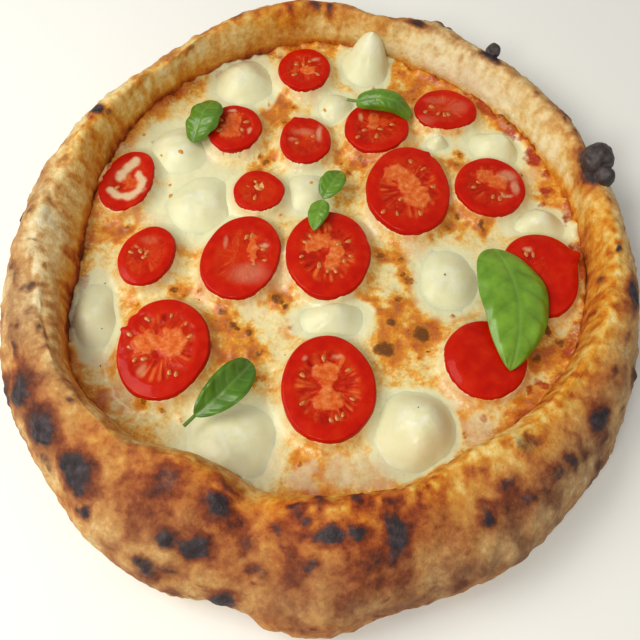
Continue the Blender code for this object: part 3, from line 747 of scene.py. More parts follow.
GAP = 0.35  # between neighbouring solids, in millimetres like all that follow
CHEESE_TOP, CHEESE_WAVE, CHEESE_CLIMB = 8.6, 0.7, 1.6
CLIMB_START = 0.86  # share of the way to the rim
TOPPING_SPACE = 1.0  # between a lump and a slice


def cheese_height(x, y):
    """Top of the cheese: gentle waves, climbing a little close to the rim."""
    share = np.hypot(x, y) / around(RIM_INNER, np.arctan2(y, x))
    climb = CHEESE_CLIMB * np.clip((share - CLIMB_START) / (1 - CLIMB_START), 0, 1) ** 2
    wave = np.sin(x / 17 + 1.0) * np.cos(y / 21) + 0.6 * np.sin((x - y) / 20 + 2.0)
    return CHEESE_TOP + CHEESE_WAVE * wave + climb


def oval(turn, width, length, tilt):
    """Distance from the middle of an ellipse to its edge, at each angle."""
    local = turn - math.radians(tilt)
    return 0.5 / np.hypot(np.cos(local) / width, np.sin(local) / length)


def tomato_reach(tomato, turn):
    """Distance from a slice's middle to its skin: an ellipse, drawn out on one side."""
    drawn = np.maximum(np.cos(turn - math.radians(tomato.towards)), 0) ** 5
    return oval(turn, tomato.width, tomato.length, tomato.turn) * (1 + tomato.point * drawn)


def way_to_tomato(lump, turn, tomato):
    """How far rays from a lump's middle run before they meet a slice's outline: the nearer
    root of the quadratic that puts the end of a ray on the slice's ellipse."""
    angle = math.radians(tomato.turn)
    half_x, half_y = (size / 2 * (1 + tomato.point) + TOPPING_SPACE for size in tomato[2:4])
    dx, dy = lump.x - tomato.x, lump.y - tomato.y
    px = (dx * math.cos(angle) + dy * math.sin(angle)) / half_x
    py = (dy * math.cos(angle) - dx * math.sin(angle)) / half_y
    sx, sy = np.cos(turn - angle) / half_x, np.sin(turn - angle) / half_y
    a, b, c = sx**2 + sy**2, px * sx + py * sy, px**2 + py**2 - 1
    meets = (b * b > a * c) & (b < 0)
    way = np.maximum((-b - np.sqrt(np.maximum(b * b - a * c, 0))) / a, 0)
    return np.where(meets, way, np.inf)


def mozzarella_reach(lump, turn):
    """A wavy ellipse, cut short where a tomato slice is in the way."""
    reach = oval(turn, lump.width, lump.length, lump.turn)
    reach = reach * (1 + 0.06 * np.sin(3 * turn + lump.x) + 0.04 * np.sin(5 * turn + lump.y))
    return np.minimum.reduce([reach, *(way_to_tomato(lump, turn, t) for t in TOMATOES)])


def beyond(x, y, piece, reach):
    """Roughly how far points lie outside a piece's outline: negative inside it."""
    dx, dy = x - piece.x, y - piece.y
    return np.hypot(dx, dy) - reach(piece, np.arctan2(dy, dx))


print("cheese level in the middle:", round(float(cheese_height(0, 0)), 2))

# %% [markdown]
# ## The cheese: where it toasts
# Melted cheese browns where it stands dry and high, and stays pale where the fresh lumps
# let out their milk. The toasted zones and the brown spots are listed one by one; between
# them a marbling of noise gives the streaks of gold in cream. Tomato and sauce stain it.
# Three of the brown spots, just right of the big basil leaf, are painted shadow: the shade that
# the leaf casts on the cheese.

# %% Cheese maps
Spot = namedtuple("Spot", "x y radius amount")
TOASTED = [Spot(*row) for row in [
    (-60, 113, 6, 0.5), (-25, 100, 12, 0.6), (-28, 62, 10, 0.8), (-35, 58, 12, 0.4),
    (-50, 50, 8, 0.3), (-95, 24, 10, 0.5), (20, 108, 9, 0.6), (50, 118, 10, 0.6),
    (15, 65, 12, 0.6), (65, 28, 10, 0.8), (-70, -8, 10, 0.5), (-35, -45, 12, 0.5),
    (-92, -66, 8, 0.4), (-12, -88, 9, 0.4), (35, -25, 15, 0.5), (55, -30, 10, 0.4),
    (58, 15, 8, 0.4), (-45, -25, 9, 0.5), (33, 10, 8, 0.5), (38, -2, 8, 0.5), (70, 62, 7, 0.5),
    (95, -40, 8, 0.6), (103, 40, 8, 0.4), (88, -70, 8, 0.5), (60, -95, 9, 0.4), (0, -100, 9, 0.3),
    (-20, -15, 8, 0.4), (78, 24, 6, 0.5), (45, 108, 7, 0.5), (92, 88, 8, 0.6), (-5, 60, 6, 0.3),
    (-75, 85, 6, 0.3),
]]
BROWNED_AND_SHADOW = [Spot(*row) for row in [
    (-27, 100, 2.0, 0.9), (-21, 105, 1.6, 0.8), (-14, 98, 1.6, 0.8), (-19, 88, 1.6, 0.8),
    (-28, 63, 2.4, 0.9), (-32, 66, 1.5, 0.8), (-24, 64, 1.2, 0.7), (-46, 55, 1.4, 0.6),
    (-93, 23, 1.8, 0.8), (-100, 18, 1.4, 0.6), (28, 112, 2.0, 0.9), (33, 109, 1.5, 0.8),
    (42, 132, 1.5, 0.6), (14, 57, 1.8, 0.8), (58, 72, 2.6, 0.9), (68, 60, 2.0, 0.8),
    (55, 85, 1.6, 0.7), (77, 25, 1.9, 1.0), (78, 22, 1.6, 0.9), (28, 8, 2.2, 0.8),
    (37, 6, 2.4, 0.8), (38, -3, 1.8, 0.8), (-68, -10, 2.2, 0.9), (-63, -13, 1.5, 0.7),
    (-84, -18, 1.5, 0.6), (-45, -22, 2.0, 0.8), (-40, -28, 2.4, 0.9), (-33, -32, 2.2, 1.0),
    (-38, -30, 1.8, 0.9), (-20, -15, 3.2, 1.0), (-17, -19, 2.0, 0.9), (-28, -42, 1.8, 0.8),
    (-14, -30, 2.0, 0.8), (-48, -40, 1.8, 0.9), (-28, -54, 1.4, 0.6), (-67, -70, 1.5, 0.7),
    (-75, -66, 1.6, 0.7), (-60, -73, 1.4, 0.6), (-9, -92, 1.8, 0.7), (28, -40, 5.0, 1.1),
    (45, -33, 4.6, 1.1), (31, -27, 2.8, 1.0), (41, -6, 2.6, 0.8), (35, -15, 2.0, 0.8),
    (47, -42, 1.5, 0.8), (43, -44, 1.3, 0.7), (60, -24, 1.8, 0.8), (51, -67, 1.8, 0.6),
    # In this row and the next, (95, -45), (101, -32) and (106, -38) are painted shadow of the big
    # basil leaf.
    (60, -80, 1.6, 0.6), (92, 90, 2.2, 0.9), (97, 85, 2.4, 0.9), (95, -45, 3.0, 1.0),
    (101, -32, 2.6, 0.9), (106, -38, 2.6, 0.9), (70, 66, 1.6, 0.8), (49, 103, 1.8, 0.7),
    (-2, -38, 1.2, 0.5), (24, -18, 1.6, 0.6), (100, 55, 1.6, 0.7), (-56, -12, 1.4, 0.6),
    (66, 30, 2.0, 0.8), (61, 24, 1.6, 0.7), (20, 64, 1.8, 0.7), (10, 63, 1.4, 0.7),
]]
STAINED = [Spot(*row) for row in [
    (107, 65, 4.6, 1.0), (108, 72, 3.6, 0.9), (112, 45, 3.6, 1.0), (108, 38, 2.0, 0.8),
    (118, 28, 2.6, 0.9), (117, 12, 2.2, 0.9), (116, 6, 2.0, 0.7), (90, -60, 2.4, 0.8),
    (95, -57, 2.8, 0.9), (58, 115, 2.2, 0.6), (22, 61, 2.0, 0.8), (68, -72, 2.4, 0.7),
    (64, 104, 2.6, 0.5), (-50, 65, 1.4, 0.9), (-22, 131, 3.0, 0.7), (-85, 76, 1.6, 0.5),
    (98, 84, 2.6, 0.9), (103, 76, 2.4, 0.8), (112, 56, 3.0, 0.9), (80, 106, 2.2, 0.7),
    (88, 98, 2.4, 0.8),
]]
WATERED = [Spot(*row) for row in [  # where juice and milk stand on the cheese
    (-8, -98, 6, 0.9), (8, -95, 6, 0.8), (22, -96, 7, 0.7), (-22, -92, 5, 0.5), (60, -62, 6, 0.6),
    (66, -78, 7, 0.7), (-84, -62, 6, 0.6), (-98, -46, 5, 0.6), (-52, -12, 6, 0.6),
    (-18, -4, 6, 0.7), (-14, -30, 5, 0.4), (84, 74, 5, 0.4), (104, 56, 5, 0.7), (110, 20, 4, 0.6),
    (24, 24, 5, 0.5), (-60, 66, 5, 0.6), (-82, 28, 5, 0.5), (-100, 68, 5, 0.5), (-6, 104, 4, 0.5),
    (48, 74, 4, 0.4), (92, -22, 5, 0.7), (44, 12, 6, 0.6), (-10, 88, 5, 0.5), (-30, -20, 5, 0.4),
    (80, 117, 5, 0.7),
]]
# How much sauce shows along the rim, every 30 degrees from +X.
SAUCE_LINE = [0.75, 0.95, 0.8, 0.6, 0.6, 0.8, 0.6, 0.15, 0.05, 0.1, 0.3, 0.65]
MILK_REACH = [5, 3, 4, 4, 9, 9, 4, 4, 7, 2.5, 10, 5, 5, 3]  # millimetres, lump by lump
SPOT_RAGGED_X = [(1.0, 3.6, 51, 1), (0.5, 1.6, 52, 1)]  # rows for waves()
SPOT_RAGGED_Y = [(1.0, 3.6, 53, 1), (0.5, 1.6, 54, 1)]
MILK_RAGGED = [(2.6, 6.5, 61, 1), (1.4, 2.6, 62, 1)]
MILK_LAYER = 30  # the level at which milk reads the noise
SPOT_EDGE = (1.35, 0.45)  # in radii of the spot


def spot_map(x, y, spots, wobble, wide=1.0):
    """The strongest of many round spots, each with a soft and ragged edge."""
    points = at_level(x, y)
    x = x + wobble * waves(points, *SPOT_RAGGED_X)
    y = y + wobble * waves(points, *SPOT_RAGGED_Y)
    strongest = np.zeros_like(x)
    for spot in spots:
        gone = np.hypot(x - spot.x, y - spot.y) / (spot.radius * wide)
        strongest = np.maximum(strongest, spot.amount * soft_step(gone, *SPOT_EDGE))
    return strongest


def milk_map(x, y):
    """White near a lump of mozzarella: 1 at its outline and fading over some millimetres."""
    ragged = waves(at_level(x, y, MILK_LAYER), *MILK_RAGGED)
    shares = [(beyond(x, y, lump, mozzarella_reach) + ragged) / reach
              for lump, reach in zip(MOZZARELLA, MILK_REACH)]
    return soft_step(np.minimum.reduce(shares), 1.3, -0.2)


def disc_grid(side):
    """A square grid bent to a unit disc: every square ring becomes a circle."""
    a, b = np.meshgrid(np.linspace(-1, 1, side), np.linspace(-1, 1, side), indexing="ij")
    wide = np.abs(a) >= np.abs(b)
    ring = np.where(wide, a, b)
    other = np.where(wide, b, a)
    slant = math.pi / 4 * other / np.where(ring == 0, 1, ring)
    angle = np.where(wide, slant, math.pi / 2 - slant)
    return ring * np.cos(angle), ring * np.sin(angle)


print("spots on the cheese:", len(TOASTED) + len(BROWNED_AND_SHADOW) + len(STAINED) + len(WATERED))

# %% [markdown]
# ## The cheese: its skin
# The layer is a bent square grid, so that its squares stay even all the way to the rim.
# The top follows the plain layer, with bubbles and toasted blisters on it, a wet lip drawn
# up round every tomato slice, and a soft ramp up to every lump of mozzarella.

# %% Cheese surface
CHEESE_SIDE = 304
SWELLS = [(0.45, 15, 71, 3), (0.16, 5.0, 74, 1)]  # this row and those below are for waves()
BUBBLY = [(0.26, 4.0, 76, 1), (0.18, 2.2, 75, 1)]
MARBLE = [(0.46, 11.0, 81, 4), (0.24, 2.6, 86, 1)]
RIM_CLIMB = [(1.6, 6, 82, 1), (0.9, 2.6, 85, 1)]
LIP_CRAGS, LIP_CRAG_WIDTH = (0.35, 1.8, 77, 1), 2.2
LIP_HEIGHT, LIP_REACH = 4.6, 1.9  # the wet lip against a slice, in millimetres
MOAT_DEPTH, MOAT_PLACE, MOAT_WIDTH = 0.3, 6, 2.5  # the shallow round the lip
LUMP_LIFT, LUMP_INSET, LUMP_REACH = 0.25, 2.0, 4.0  # the soft ramp up to a lump
TOAST_HEIGHT, BLISTER_RISE = 0.45, 0.35
MARBLE_LEVEL = 0.52
RIM_SHARE, RIM_LIFT = (0.965, 1.0), 0.9  # where the cheese climbs the rim, and how far
SAUCE_SHARE = (0.955, 0.985)  # where the line of sauce begins
EDGE_OVERLAP = 0.9  # how far the cheese runs into the rim


def fading(away, reach):
    """1 up to an edge and then fading with the distance from it: e to the minus away / reach."""
    return np.exp(-np.maximum(away, 0) / reach)


def soft_waves(x, y):
    """The broad swells that the cheese and the lumps in it share."""
    return waves(at_level(x, y), *SWELLS)


def cheese_level(x, y, toast, brown, milk):
    """(height, distance from the slices): plain height, swells, bumps, blisters and lips."""
    points = at_level(x, y)
    level = cheese_height(x, y) + soft_waves(x, y)
    level = level + waves(points, *BUBBLY) * (1 - 0.75 * milk)
    level = level + TOAST_HEIGHT * toast + BLISTER_RISE * brown
    wet = np.minimum.reduce([beyond(x, y, tomato, tomato_reach) for tomato in TOMATOES])
    level = level + LIP_HEIGHT * fading(wet, LIP_REACH)
    level = level - MOAT_DEPTH * bell(wet - MOAT_PLACE, MOAT_WIDTH)
    level = level + waves(points, LIP_CRAGS) * bell(wet, LIP_CRAG_WIDTH)
    lump = np.minimum.reduce([beyond(x, y, lump, mozzarella_reach) for lump in MOZZARELLA])
    return level + LUMP_LIFT * fading(lump + LUMP_INSET, LUMP_REACH), wet


def cheese_maps(x, y, edge):
    """(height, maps). Toast is marbling, spots and a darker rim, less where there is milk.
    Juice fades away from the slices, and sauce shows as a broken line along the rim."""
    points = at_level(x, y)
    share = np.hypot(x, y) / edge
    milk = milk_map(x, y)
    marble = MARBLE_LEVEL + waves(points, *MARBLE)
    toast = spot_map(x, y, TOASTED, 3.5) * (0.1 + 0.55 * marble) + 0.50 * marble
    toast = toast + 0.25 * soft_step(share, 0.90, 1.0)
    # Brown spots widen into the toast and make blisters; the few beside the big basil leaf are
    # painted shadow.
    toast = toast * (1 - 0.8 * milk) + 0.30 * spot_map(x, y, BROWNED_AND_SHADOW, 1.5, 2.2)
    toast = np.clip(toast, 0, 0.85)
    brown = spot_map(x, y, BROWNED_AND_SHADOW, 1.0) * (1 - 0.5 * milk)
    level, wet = cheese_level(x, y, toast, brown, milk)
    level = level + soft_step(share, *RIM_SHARE) * (RIM_LIFT + waves(points, *RIM_CLIMB))
    juice = fading(wet, LIP_REACH) * (0.6 + 0.5 * noise(points, 4, 83))
    sauce = soft_step(share + 0.015 * noise(points, 4, 88), *SAUCE_SHARE)
    sauce = sauce * around(SAUCE_LINE, np.arctan2(y, x))
    sauce = sauce * soft_step(noise(points, 6, 84), -0.4, 0.4)
    stain = np.maximum(spot_map(x, y, STAINED, 1.6), sauce)
    water = spot_map(x, y, WATERED, 3.0, 1.2)
    return level, {"toast": toast, "brown": brown, "milk": milk, "juice": juice,
                   "stain": stain, "water": water}


def make_cheese():
    """The bent grid on top, a short wall down round it, and a flat underside."""
    x, y = disc_grid(CHEESE_SIDE)
    edge = dented(RIM_INNER, np.arctan2(y, x), "inner")
    x, y = x * (edge + EDGE_OVERLAP), y * (edge + EDGE_OVERLAP)
    level, maps = cheese_maps(x, y, edge)
    grid = np.arange(x.size).reshape(x.shape)
    quads = np.stack([grid[:-1, :-1], grid[1:, :-1], grid[1:, 1:], grid[:-1, 1:]], -1)
    border = np.concatenate([grid[:-1, 0], grid[-1, :-1], grid[:0:-1, -1], grid[0, :0:-1]])
    top = np.stack([x, y, level], -1).reshape(-1, 3)
    middle = (0, 0, BASE_TOP + GAP)
    wall = top[border] * (1, 1, 0) + middle
    low = x.size + np.arange(len(wall))
    walls = np.stack([border, low, np.roll(low, -1), np.roll(border, -1)], -1)
    under = np.stack([np.roll(low, -1), low, np.full(len(low), x.size + len(wall))], -1)
    points = np.concatenate([top, wall, [middle]])
    faces = quads.reshape(-1, 4).tolist() + walls.tolist() + under.tolist()
    values = {key: np.concatenate([np.clip(field, 0, 1.1).ravel(), np.full(len(wall) + 1, 0.3)])
              for key, field in maps.items()}
    return new_piece("cheese_skin", points, faces, values)


cheese = make_cheese()
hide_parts("cheese_layer")
print("cheese:", len(cheese.data.polygons), "faces")

# %% [markdown]
# ## The cheese: its finish
# Melted cheese is oily and lets light in, so it gets subsurface light and a wet coat. Its
# colour runs from cream through gold to the brown of the blisters; the milk map whitens
# it, and the juice and the stains redden it.
# A few of the brown spots, beside the big basil leaf, are painted shadow.

# %% Melted cheese
CHEESE_MILD = "#e0deb4"


def melted_cheese():
    melt = Finish("melted_toasted_cheese")
    fine, patch = melt.swing(1.5, 4.0, 0.6), melt.swing(4.5, 3.0, 0.5, 0.4)
    toasted, water, juice = melt.value("toast"), melt.value("water"), melt.value("juice")
    toast = melt.scale(fine, 0.85, melt.scale(patch, 0.55, toasted))
    freckle = melt.scale(melt.spots(1.7, 2.0, 8.0, -5.0), toasted)
    toast = melt.scale(freckle, 0.42, toast)
    colour = melt.ramp(toast, (0.10, "#e6d8a2"), (0.30, "#e3c376"), (0.46, "#de9b28"),
                       (0.64, "#cf7a0f"), (0.84, "#bc5f0b"), (1.0, "#9a480a"))
    dots = melt.scale(melt.spots(2.2, 1.0, 14.0, -9.0), toasted)
    colour = melt.blend(dots, colour, "#b8691a")
    milk = melt.scale(fine, 0.5, melt.scale(patch, 0.5, melt.value("milk")))
    colour = melt.over(colour, milk, 1.5, -0.25, CHEESE_MILD)
    colour = melt.over(colour, melt.scale(fine, 1.2, water), 0.75, 0.0, "#dcc2a0")
    colour = melt.over(colour, melt.scale(patch, 0.6, juice), 0.55, 0.0, "#dd9a72")
    stain = melt.scale(fine, 0.9, melt.value("stain"))
    colour = melt.over(colour, stain, 1.4, -0.38, "#a3290a")
    # Brown blisters, with a few spots of painted shadow beside the big basil leaf.
    brown = melt.scale(fine, 1.3, melt.value("brown"))
    crisp = melt.ramp(brown, (0.30, "#d28a1c"), (0.58, "#b0670e"), (0.85, "#8d4e08"),
                      (1.0, "#6f3c07"))
    colour = melt.over(colour, brown, 2.2, -0.40, crisp)
    wet = melt.calc("MAXIMUM", juice, water)
    small = melt.bump(melt.grain(1.3), 0.25, 0.5)
    wide = melt.bump(melt.grain(3.6, 2.0), 0.6, 0.5, small)
    melt.glow(0.15, 1.0, 0.7, 0.35, scale=0.003)
    melt.coat(0.24, 0.08)
    return melt.done(Base_Color=colour, Roughness=melt.scale(wet, -0.25, 0.42),
                     Specular_IOR_Level=0.3, Normal=wide)


cheese.data.materials.append(melted_cheese())
print("the cheese wears", cheese.data.materials[0].name)

# %% [markdown]
# ## The tomato slices: what the knife shows
# A cut tomato has a smooth red wall, a paler core with arms, and chambers of jelly that
# hold the seeds. Every slice here has its own cut, so each gets a list: ovals of core,
# ovals of jelly, the places of its seeds, and pale ovals where milk or cheese has run over
# it, the smallest of which are painted glints of juice.

# %% What each slice shows
# An oval is a row of x, y, half width, half length and amount, in millimetres and from 0 to 1.
Cut = namedtuple("Cut", "core jelly seeds film streaks")


def trail(half, amount, *stops):
    """Overlapping ovals along a bent line, for milk run over a slice in a band."""
    places = np.concatenate([np.linspace(a, b, 5) for a, b in zip(stops[:-1], stops[1:])])
    return [(x, y, half, half, amount) for x, y in places]


# Film ovals are milk or cheese run over a slice; the smallest of them are painted glints of juice.
CUTS = [  # slice by slice: core, jelly, seeds, film and streaks
    Cut(
        [(-6.5, 118, 4.5, 3, 1), (-13, 121, 2, 4, 0.5)],
        [(-3, 122, 4, 4, 0.9), (-14, 119, 3, 5, 0.8), (-1, 117, 2, 3, 0.7)],
        [(-13, 122), (-9.5, 122), (-6, 124), (-14, 115), (-2, 115)],
        [(-3, 125, 2, 1, 0.4)], 0.6,
    ),
    Cut(
        [(-47, 77, 4, 5, 0.7), (-44, 84, 4, 5, 0.8), (-44, 78, 4, 5, 0.7)],
        [(-51, 83, 3, 5, 0.9), (-38, 80, 3, 6, 0.9), (-45, 91, 5, 2, 0.7)],
        [(-51, 84), (-38, 83), (-40, 78), (-51, 77)],
        [(-45, 90, 2, 1, 0.6), (-36, 77, 1, 2, 0.5)], 0.6,
    ),
    Cut(
        [(-6, 75, 4, 3, 0.5)],
        [(-14, 74, 4, 4, 0.8), (-3, 72, 4, 5, 0.7), (-9, 66, 4, 3, 0.6)],
        [(-4, 75), (-12, 71)],
        [(-9, 78, 5, 2, 0.2), (-1, 77, 1.5, 4, 0.45), (-14, 73, 2, 0.8, 0.3)], 0.3,
    ),
    Cut(
        [(-36, 40, 4, 5, 0.3)],
        [(-31, 44, 2.5, 5, 0.7)],
        [(-32, 47), (-31, 45), (-29.5, 43), (-32, 38)], [], 0.3,
    ),
    Cut(
        [(-95, 48, 3, 3.5, 0.7), (-92, 45, 4, 3.5, 0.7)],
        [(-98, 45, 4, 4, 0.6)],
        [(-99, 43)],
        trail(2.0, 1.1, (-92, 59), (-95, 55), (-98, 51), (-98, 49))
        + trail(1.8, 1.1, (-89.5, 51), (-87, 46), (-88, 41), (-92.5, 37.5), (-98, 38),
                (-102, 41)), 0.2,
    ),
    Cut(
        [(-78, 8, 4, 8, 0.3), (-86, -1, 4, 3, 0.3)],
        [(-85, 5, 5, 4, 0.8), (-80, 12, 5, 4, 0.4)],
        [(-88, 6), (-84, 7), (-82, 4), (-81, 6.5)],
        [(-80, 13, 4, 2, 0.10), (-86, 9, 1.2, 0.6, 0.3)], 0.4,
    ),
    Cut(
        [(-32, 8, 2.3, 7, 0.9), (-40, 9, 1.6, 10, 0.35)],
        [(-34.5, 14, 2.5, 4, 0.7), (-27, 6, 3.5, 6, 0.8), (-31, -1, 3, 4, 0.6)],
        [(-35, 15), (-32.5, 15.5), (-27, 8), (-31, 0), (-26, 2)],
        [(-33, -5, 8, 5, 0.22), (-27, 10, 2, 1, 0.5), (-45, 12, 1, 3, 0.3)], 0.4,
    ),
    Cut(
        [(0, 12.5, 5, 3.5, 1), (6.5, 6, 4.5, 6, 1), (4.5, -0.5, 3.5, 3, 1),
         (-4, 8.5, 4, 2.5, 1)],
        [(-4, 3, 5, 4, 0.7), (-6, 14, 3, 3, 0.7), (6, 15, 5, 3, 0.9), (12, 7, 3, 6, 0.7),
         (5, -4, 5, 2, 0.8), (0, 5, 2.5, 3, 0.8)],
        [(-5, 14.5), (-9, 3.5), (-1, -1), (3, -4), (6.5, -4), (13.5, 3.5), (12.5, 11.5), (8, 10),
         (10.5, 1), (-7, 11)], [], 0.9,
    ),
    Cut(
        [(27, 84, 3.5, 5, 0.8), (32, 83, 2, 3, 0.5)],
        [(21.5, 78, 3, 5, 0.8), (31, 77, 4, 4, 0.7), (37, 81, 3, 4, 0.7),
         (27, 75, 4, 3, 0.7)],
        [(22, 79), (18.5, 74), (30, 79.5), (36, 82), (28, 75)],
        [(20, 87, 1, 2, 0.5)], 0.6,
    ),
    Cut(
        [(60, 92, 6, 3, 0.35)],
        [(55, 91, 4, 3, 0.7), (64, 89, 5, 2.5, 0.7)],
        [(53.5, 90), (60, 89), (65, 88.5), (57, 93.5), (63, 88)],
        [(52, 84, 5, 3, 0.14), (70, 93, 5, 4, 0.12), (60, 98, 6, 2, 0.12)], 0.5,
    ),
    Cut(
        [(37, 50.5, 6, 5, 1), (46, 36, 6.5, 6.5, 1), (42, 43.5, 5, 6, 1)],
        [(49.5, 49, 4, 7, 1), (45, 57, 3, 4, 0.7), (35, 38, 4, 5, 0.6), (38, 31, 3, 4, 0.8),
         (54, 38, 2.5, 6, 0.8), (31, 47, 2, 5, 0.6)],
        [(38, 35.5), (29.5, 28), (54, 42.5), (50, 53), (44, 57.5), (47, 27.5), (36, 27)], [], 0.9,
    ),
    Cut(
        [(79.5, 50, 4.5, 3.5, 0.9), (86, 46, 4.5, 4.5, 0.9)],
        [(74, 44, 3.5, 4, 0.8), (92, 45, 3, 6, 0.8), (84, 38, 4, 3, 0.7),
         (79, 43, 3, 3, 0.6)],
        [(74, 43), (76.5, 46), (83, 38), (88, 39), (86, 36.5)],
        [(91, 50, 4, 3, 0.4), (94, 43, 1.5, 4, 0.45), (89, 38, 3, 1, 0.5)], 0.6,
    ),
    Cut(
        [(100, -3, 4, 6, 0.25)],
        [(95.5, 4, 2.5, 3, 1)],
        [(94.5, 4.5), (97.5, 4), (92.5, -1)],
        [(95.5, 7, 2, 1, 0.5)], 0.0,
    ),
    Cut(
        [], [], [], [], 0.0,
    ),
    Cut(
        [(-76.5, -40, 5.5, 5.5, 1), (-65, -40, 6, 8, 1), (-71, -40, 5, 3.5, 1)],
        [(-71.5, -33, 2.5, 4, 0.9), (-72, -47, 4, 4, 0.9), (-84, -41, 3, 8, 0.6),
         (-57.5, -40, 2, 8, 0.6), (-78, -29, 4, 3, 0.7), (-64, -28, 5, 3, 0.7),
         (-78, -51, 4, 4, 0.7), (-63, -53, 5, 3, 0.6)],
        [(-77, -28.5), (-66.5, -27), (-59.5, -31), (-83.5, -42), (-84, -36), (-80.5, -48),
         (-76.5, -47.5), (-62, -55), (-57.5, -37), (-65, -54)],
        [(-77, -53, 1.5, 3, 0.3)], 0.9,
    ),
    Cut(
        [(2, -53, 6, 3.6, 1), (3, -66, 7, 4.2, 1), (2.5, -60, 3.4, 4, 1)],
        [(-6, -55, 4, 3, 0.8), (-6, -66, 4, 4, 0.8), (10, -58, 4, 4, 0.9),
         (12, -66, 3, 3, 0.7), (-4, -60, 3, 2, 0.8), (0, -47, 7, 2.5, 0.7),
         (3, -73, 7, 2.5, 0.7)],
        [(-8, -55), (-8, -67.5), (13, -65.5), (11.5, -52.5), (6.5, -74), (1, -47), (4, -75),
         (9, -72.5)],
        [(7, -46, 2, 1, 0.4), (-7, -47, 1, 1, 0.4)], 1.0,
    ),
]
print("slices:", len(CUTS), "seeds:", sum(len(cut.seeds) for cut in CUTS))

# %% [markdown]
# ## The tomato slices: their skins
# A slice is a ring skin with a rounded side. Its top sinks a little towards the middle,
# the jelly lies lower and the core stands up. Small nicks and tongues round the outline
# follow the real slices, where the knife tore the skin.

# %% Tomato surfaces
NICKS = {  # slice: (turn in degrees, half width in degrees, length in millimetres)
    2: [(112, 7, 1.4), (88, 5, -0.6)], 10: [(62, 3, 0.9), (56, 3, -0.5)], 12: [(27, 7, 3.0)],
    14: [(154, 3, 1.3), (147, 4, -1.2), (128, 4, -0.9)], 7: [(20, 5, -0.5)],
}
DOMED = {12: 0.9, 13: 1.3}  # end slices, round skin up, and how high they swell
TOMATO_COLUMNS, FACE_ROWS = 144, 42
CUT_EDGE = 0.70  # where the cut face ends and the wall of the fruit begins
TOMATO_SINK = 0.5
CORE_HEIGHT, JELLY_DEPTH, FILM_AND_GLINT_HEIGHT, STREAK_HEIGHT, FACE_DEPTH = 0.12, 0.34, 0.15, 0.10, 0.20
SIDE_BEND = np.radians(np.linspace(-80, 82, 15))
SIDE_SHARE = np.concatenate([
    [0.3, 0.6, 0.8], 0.94 + 0.06 * np.cos(SIDE_BEND), np.linspace(0.94, 0.02, FACE_ROWS),
])
SIDE_LEVEL = np.concatenate([[0, 0, 0], 0.5 + 0.5 * np.sin(SIDE_BEND), np.ones(FACE_ROWS)])
OVAL_RAGGED_X = [(0.9, 3.0, 91, 1), (0.4, 1.2, 92, 1)]  # this row and those below are for waves()
OVAL_RAGGED_Y = [(0.9, 3.0, 93, 1), (0.4, 1.2, 94, 1)]
RAYS = [(1.0, 0.9, 95, 1), (0.6, 0.45, 96, 1)]
FACE_BUMPS = [(0.14, 5.5, 98, 1), (0.03, 2.0, 99, 1)]
OVAL_LAYER = 60  # the level at which the ovals read the noise


def slice_reach(number, turn):
    """The plain outline of a slice, with its nicks and tongues and a slight wobble."""
    reach = tomato_reach(TOMATOES[number], turn)
    for at, half, length in NICKS.get(number, []):
        reach = reach + length * bell(turned_from(turn, at), half)
    return reach + 0.20 * np.sin(3 * turn + number) + 0.08 * np.sin(7 * turn + 2 * number)


def oval_map(x, y, rows, soft, ragged):
    """The strongest of several ovals, 1 inside and falling to 0 just outside."""
    points = at_level(x, y, OVAL_LAYER)
    x = x + ragged * waves(points, *OVAL_RAGGED_X)
    y = y + ragged * waves(points, *OVAL_RAGGED_Y)
    best = np.zeros_like(x)
    for middle_x, middle_y, half_x, half_y, amount in rows:
        gone = np.hypot((x - middle_x) / half_x, (y - middle_y) / half_y)
        best = np.maximum(best, amount * soft_step(gone, 1 + soft, 1 - soft))
    return best


def slice_maps(number, x, y):
    """(maps, share, inner): what shows on a slice, the share of the way to its outline, and
    1 on the cut face. Streaks run out from the middle."""
    tomato, cut = TOMATOES[number], CUTS[number]
    turn = np.arctan2(y - tomato.y, x - tomato.x)
    share = np.hypot(x - tomato.x, y - tomato.y) / slice_reach(number, turn)
    core = oval_map(x, y, cut.core, 0.22, 1.6)
    jelly = oval_map(x, y, cut.jelly, 0.30, 1.0) * (1 - core)
    film = oval_map(x, y, cut.film, 0.60, 0.65)
    fan = np.stack([8 * np.cos(turn), 8 * np.sin(turn), 2.2 * share + number], -1)
    inner = soft_step(share + 0.03 * noise(fan, 1.5, 97), CUT_EDGE + 0.05, CUT_EDGE - 0.10)
    streaks = cut.streaks * inner * waves(fan, *RAYS) * (1 - 0.7 * core)
    streaks = streaks * soft_step(share, 0.12, 0.34)
    return {"core": core, "jelly": jelly, "film": film, "streaks": streaks}, share, inner


def slice_top(number, x, y):
    """Height of a slice's cut face: a shallow hollow, with the core and the pale ovals of milk
    and of painted glints standing up, and the jelly lying lower. An end slice swells instead."""
    maps, share, inner = slice_maps(number, x, y)
    core = maps["core"]
    plain = 0.93 + 0.07 * soft_step(share, 0.97, 0.74) - 0.09 * soft_step(share, 0.72, 0.1)
    level = TOMATOES[number].thickness * plain + cheese_height(x, y) + GAP
    level = level + CORE_HEIGHT * core - JELLY_DEPTH * maps["jelly"] + FILM_AND_GLINT_HEIGHT * maps["film"]
    level = level - FACE_DEPTH * inner * (1 - core)
    swell = DOMED.get(number, 0)
    level = level + swell * (1 - np.minimum(share, 1) ** 2) - 0.8 * swell * share**4
    return level + STREAK_HEIGHT * maps["streaks"] + waves(at_level(x, y), *FACE_BUMPS)


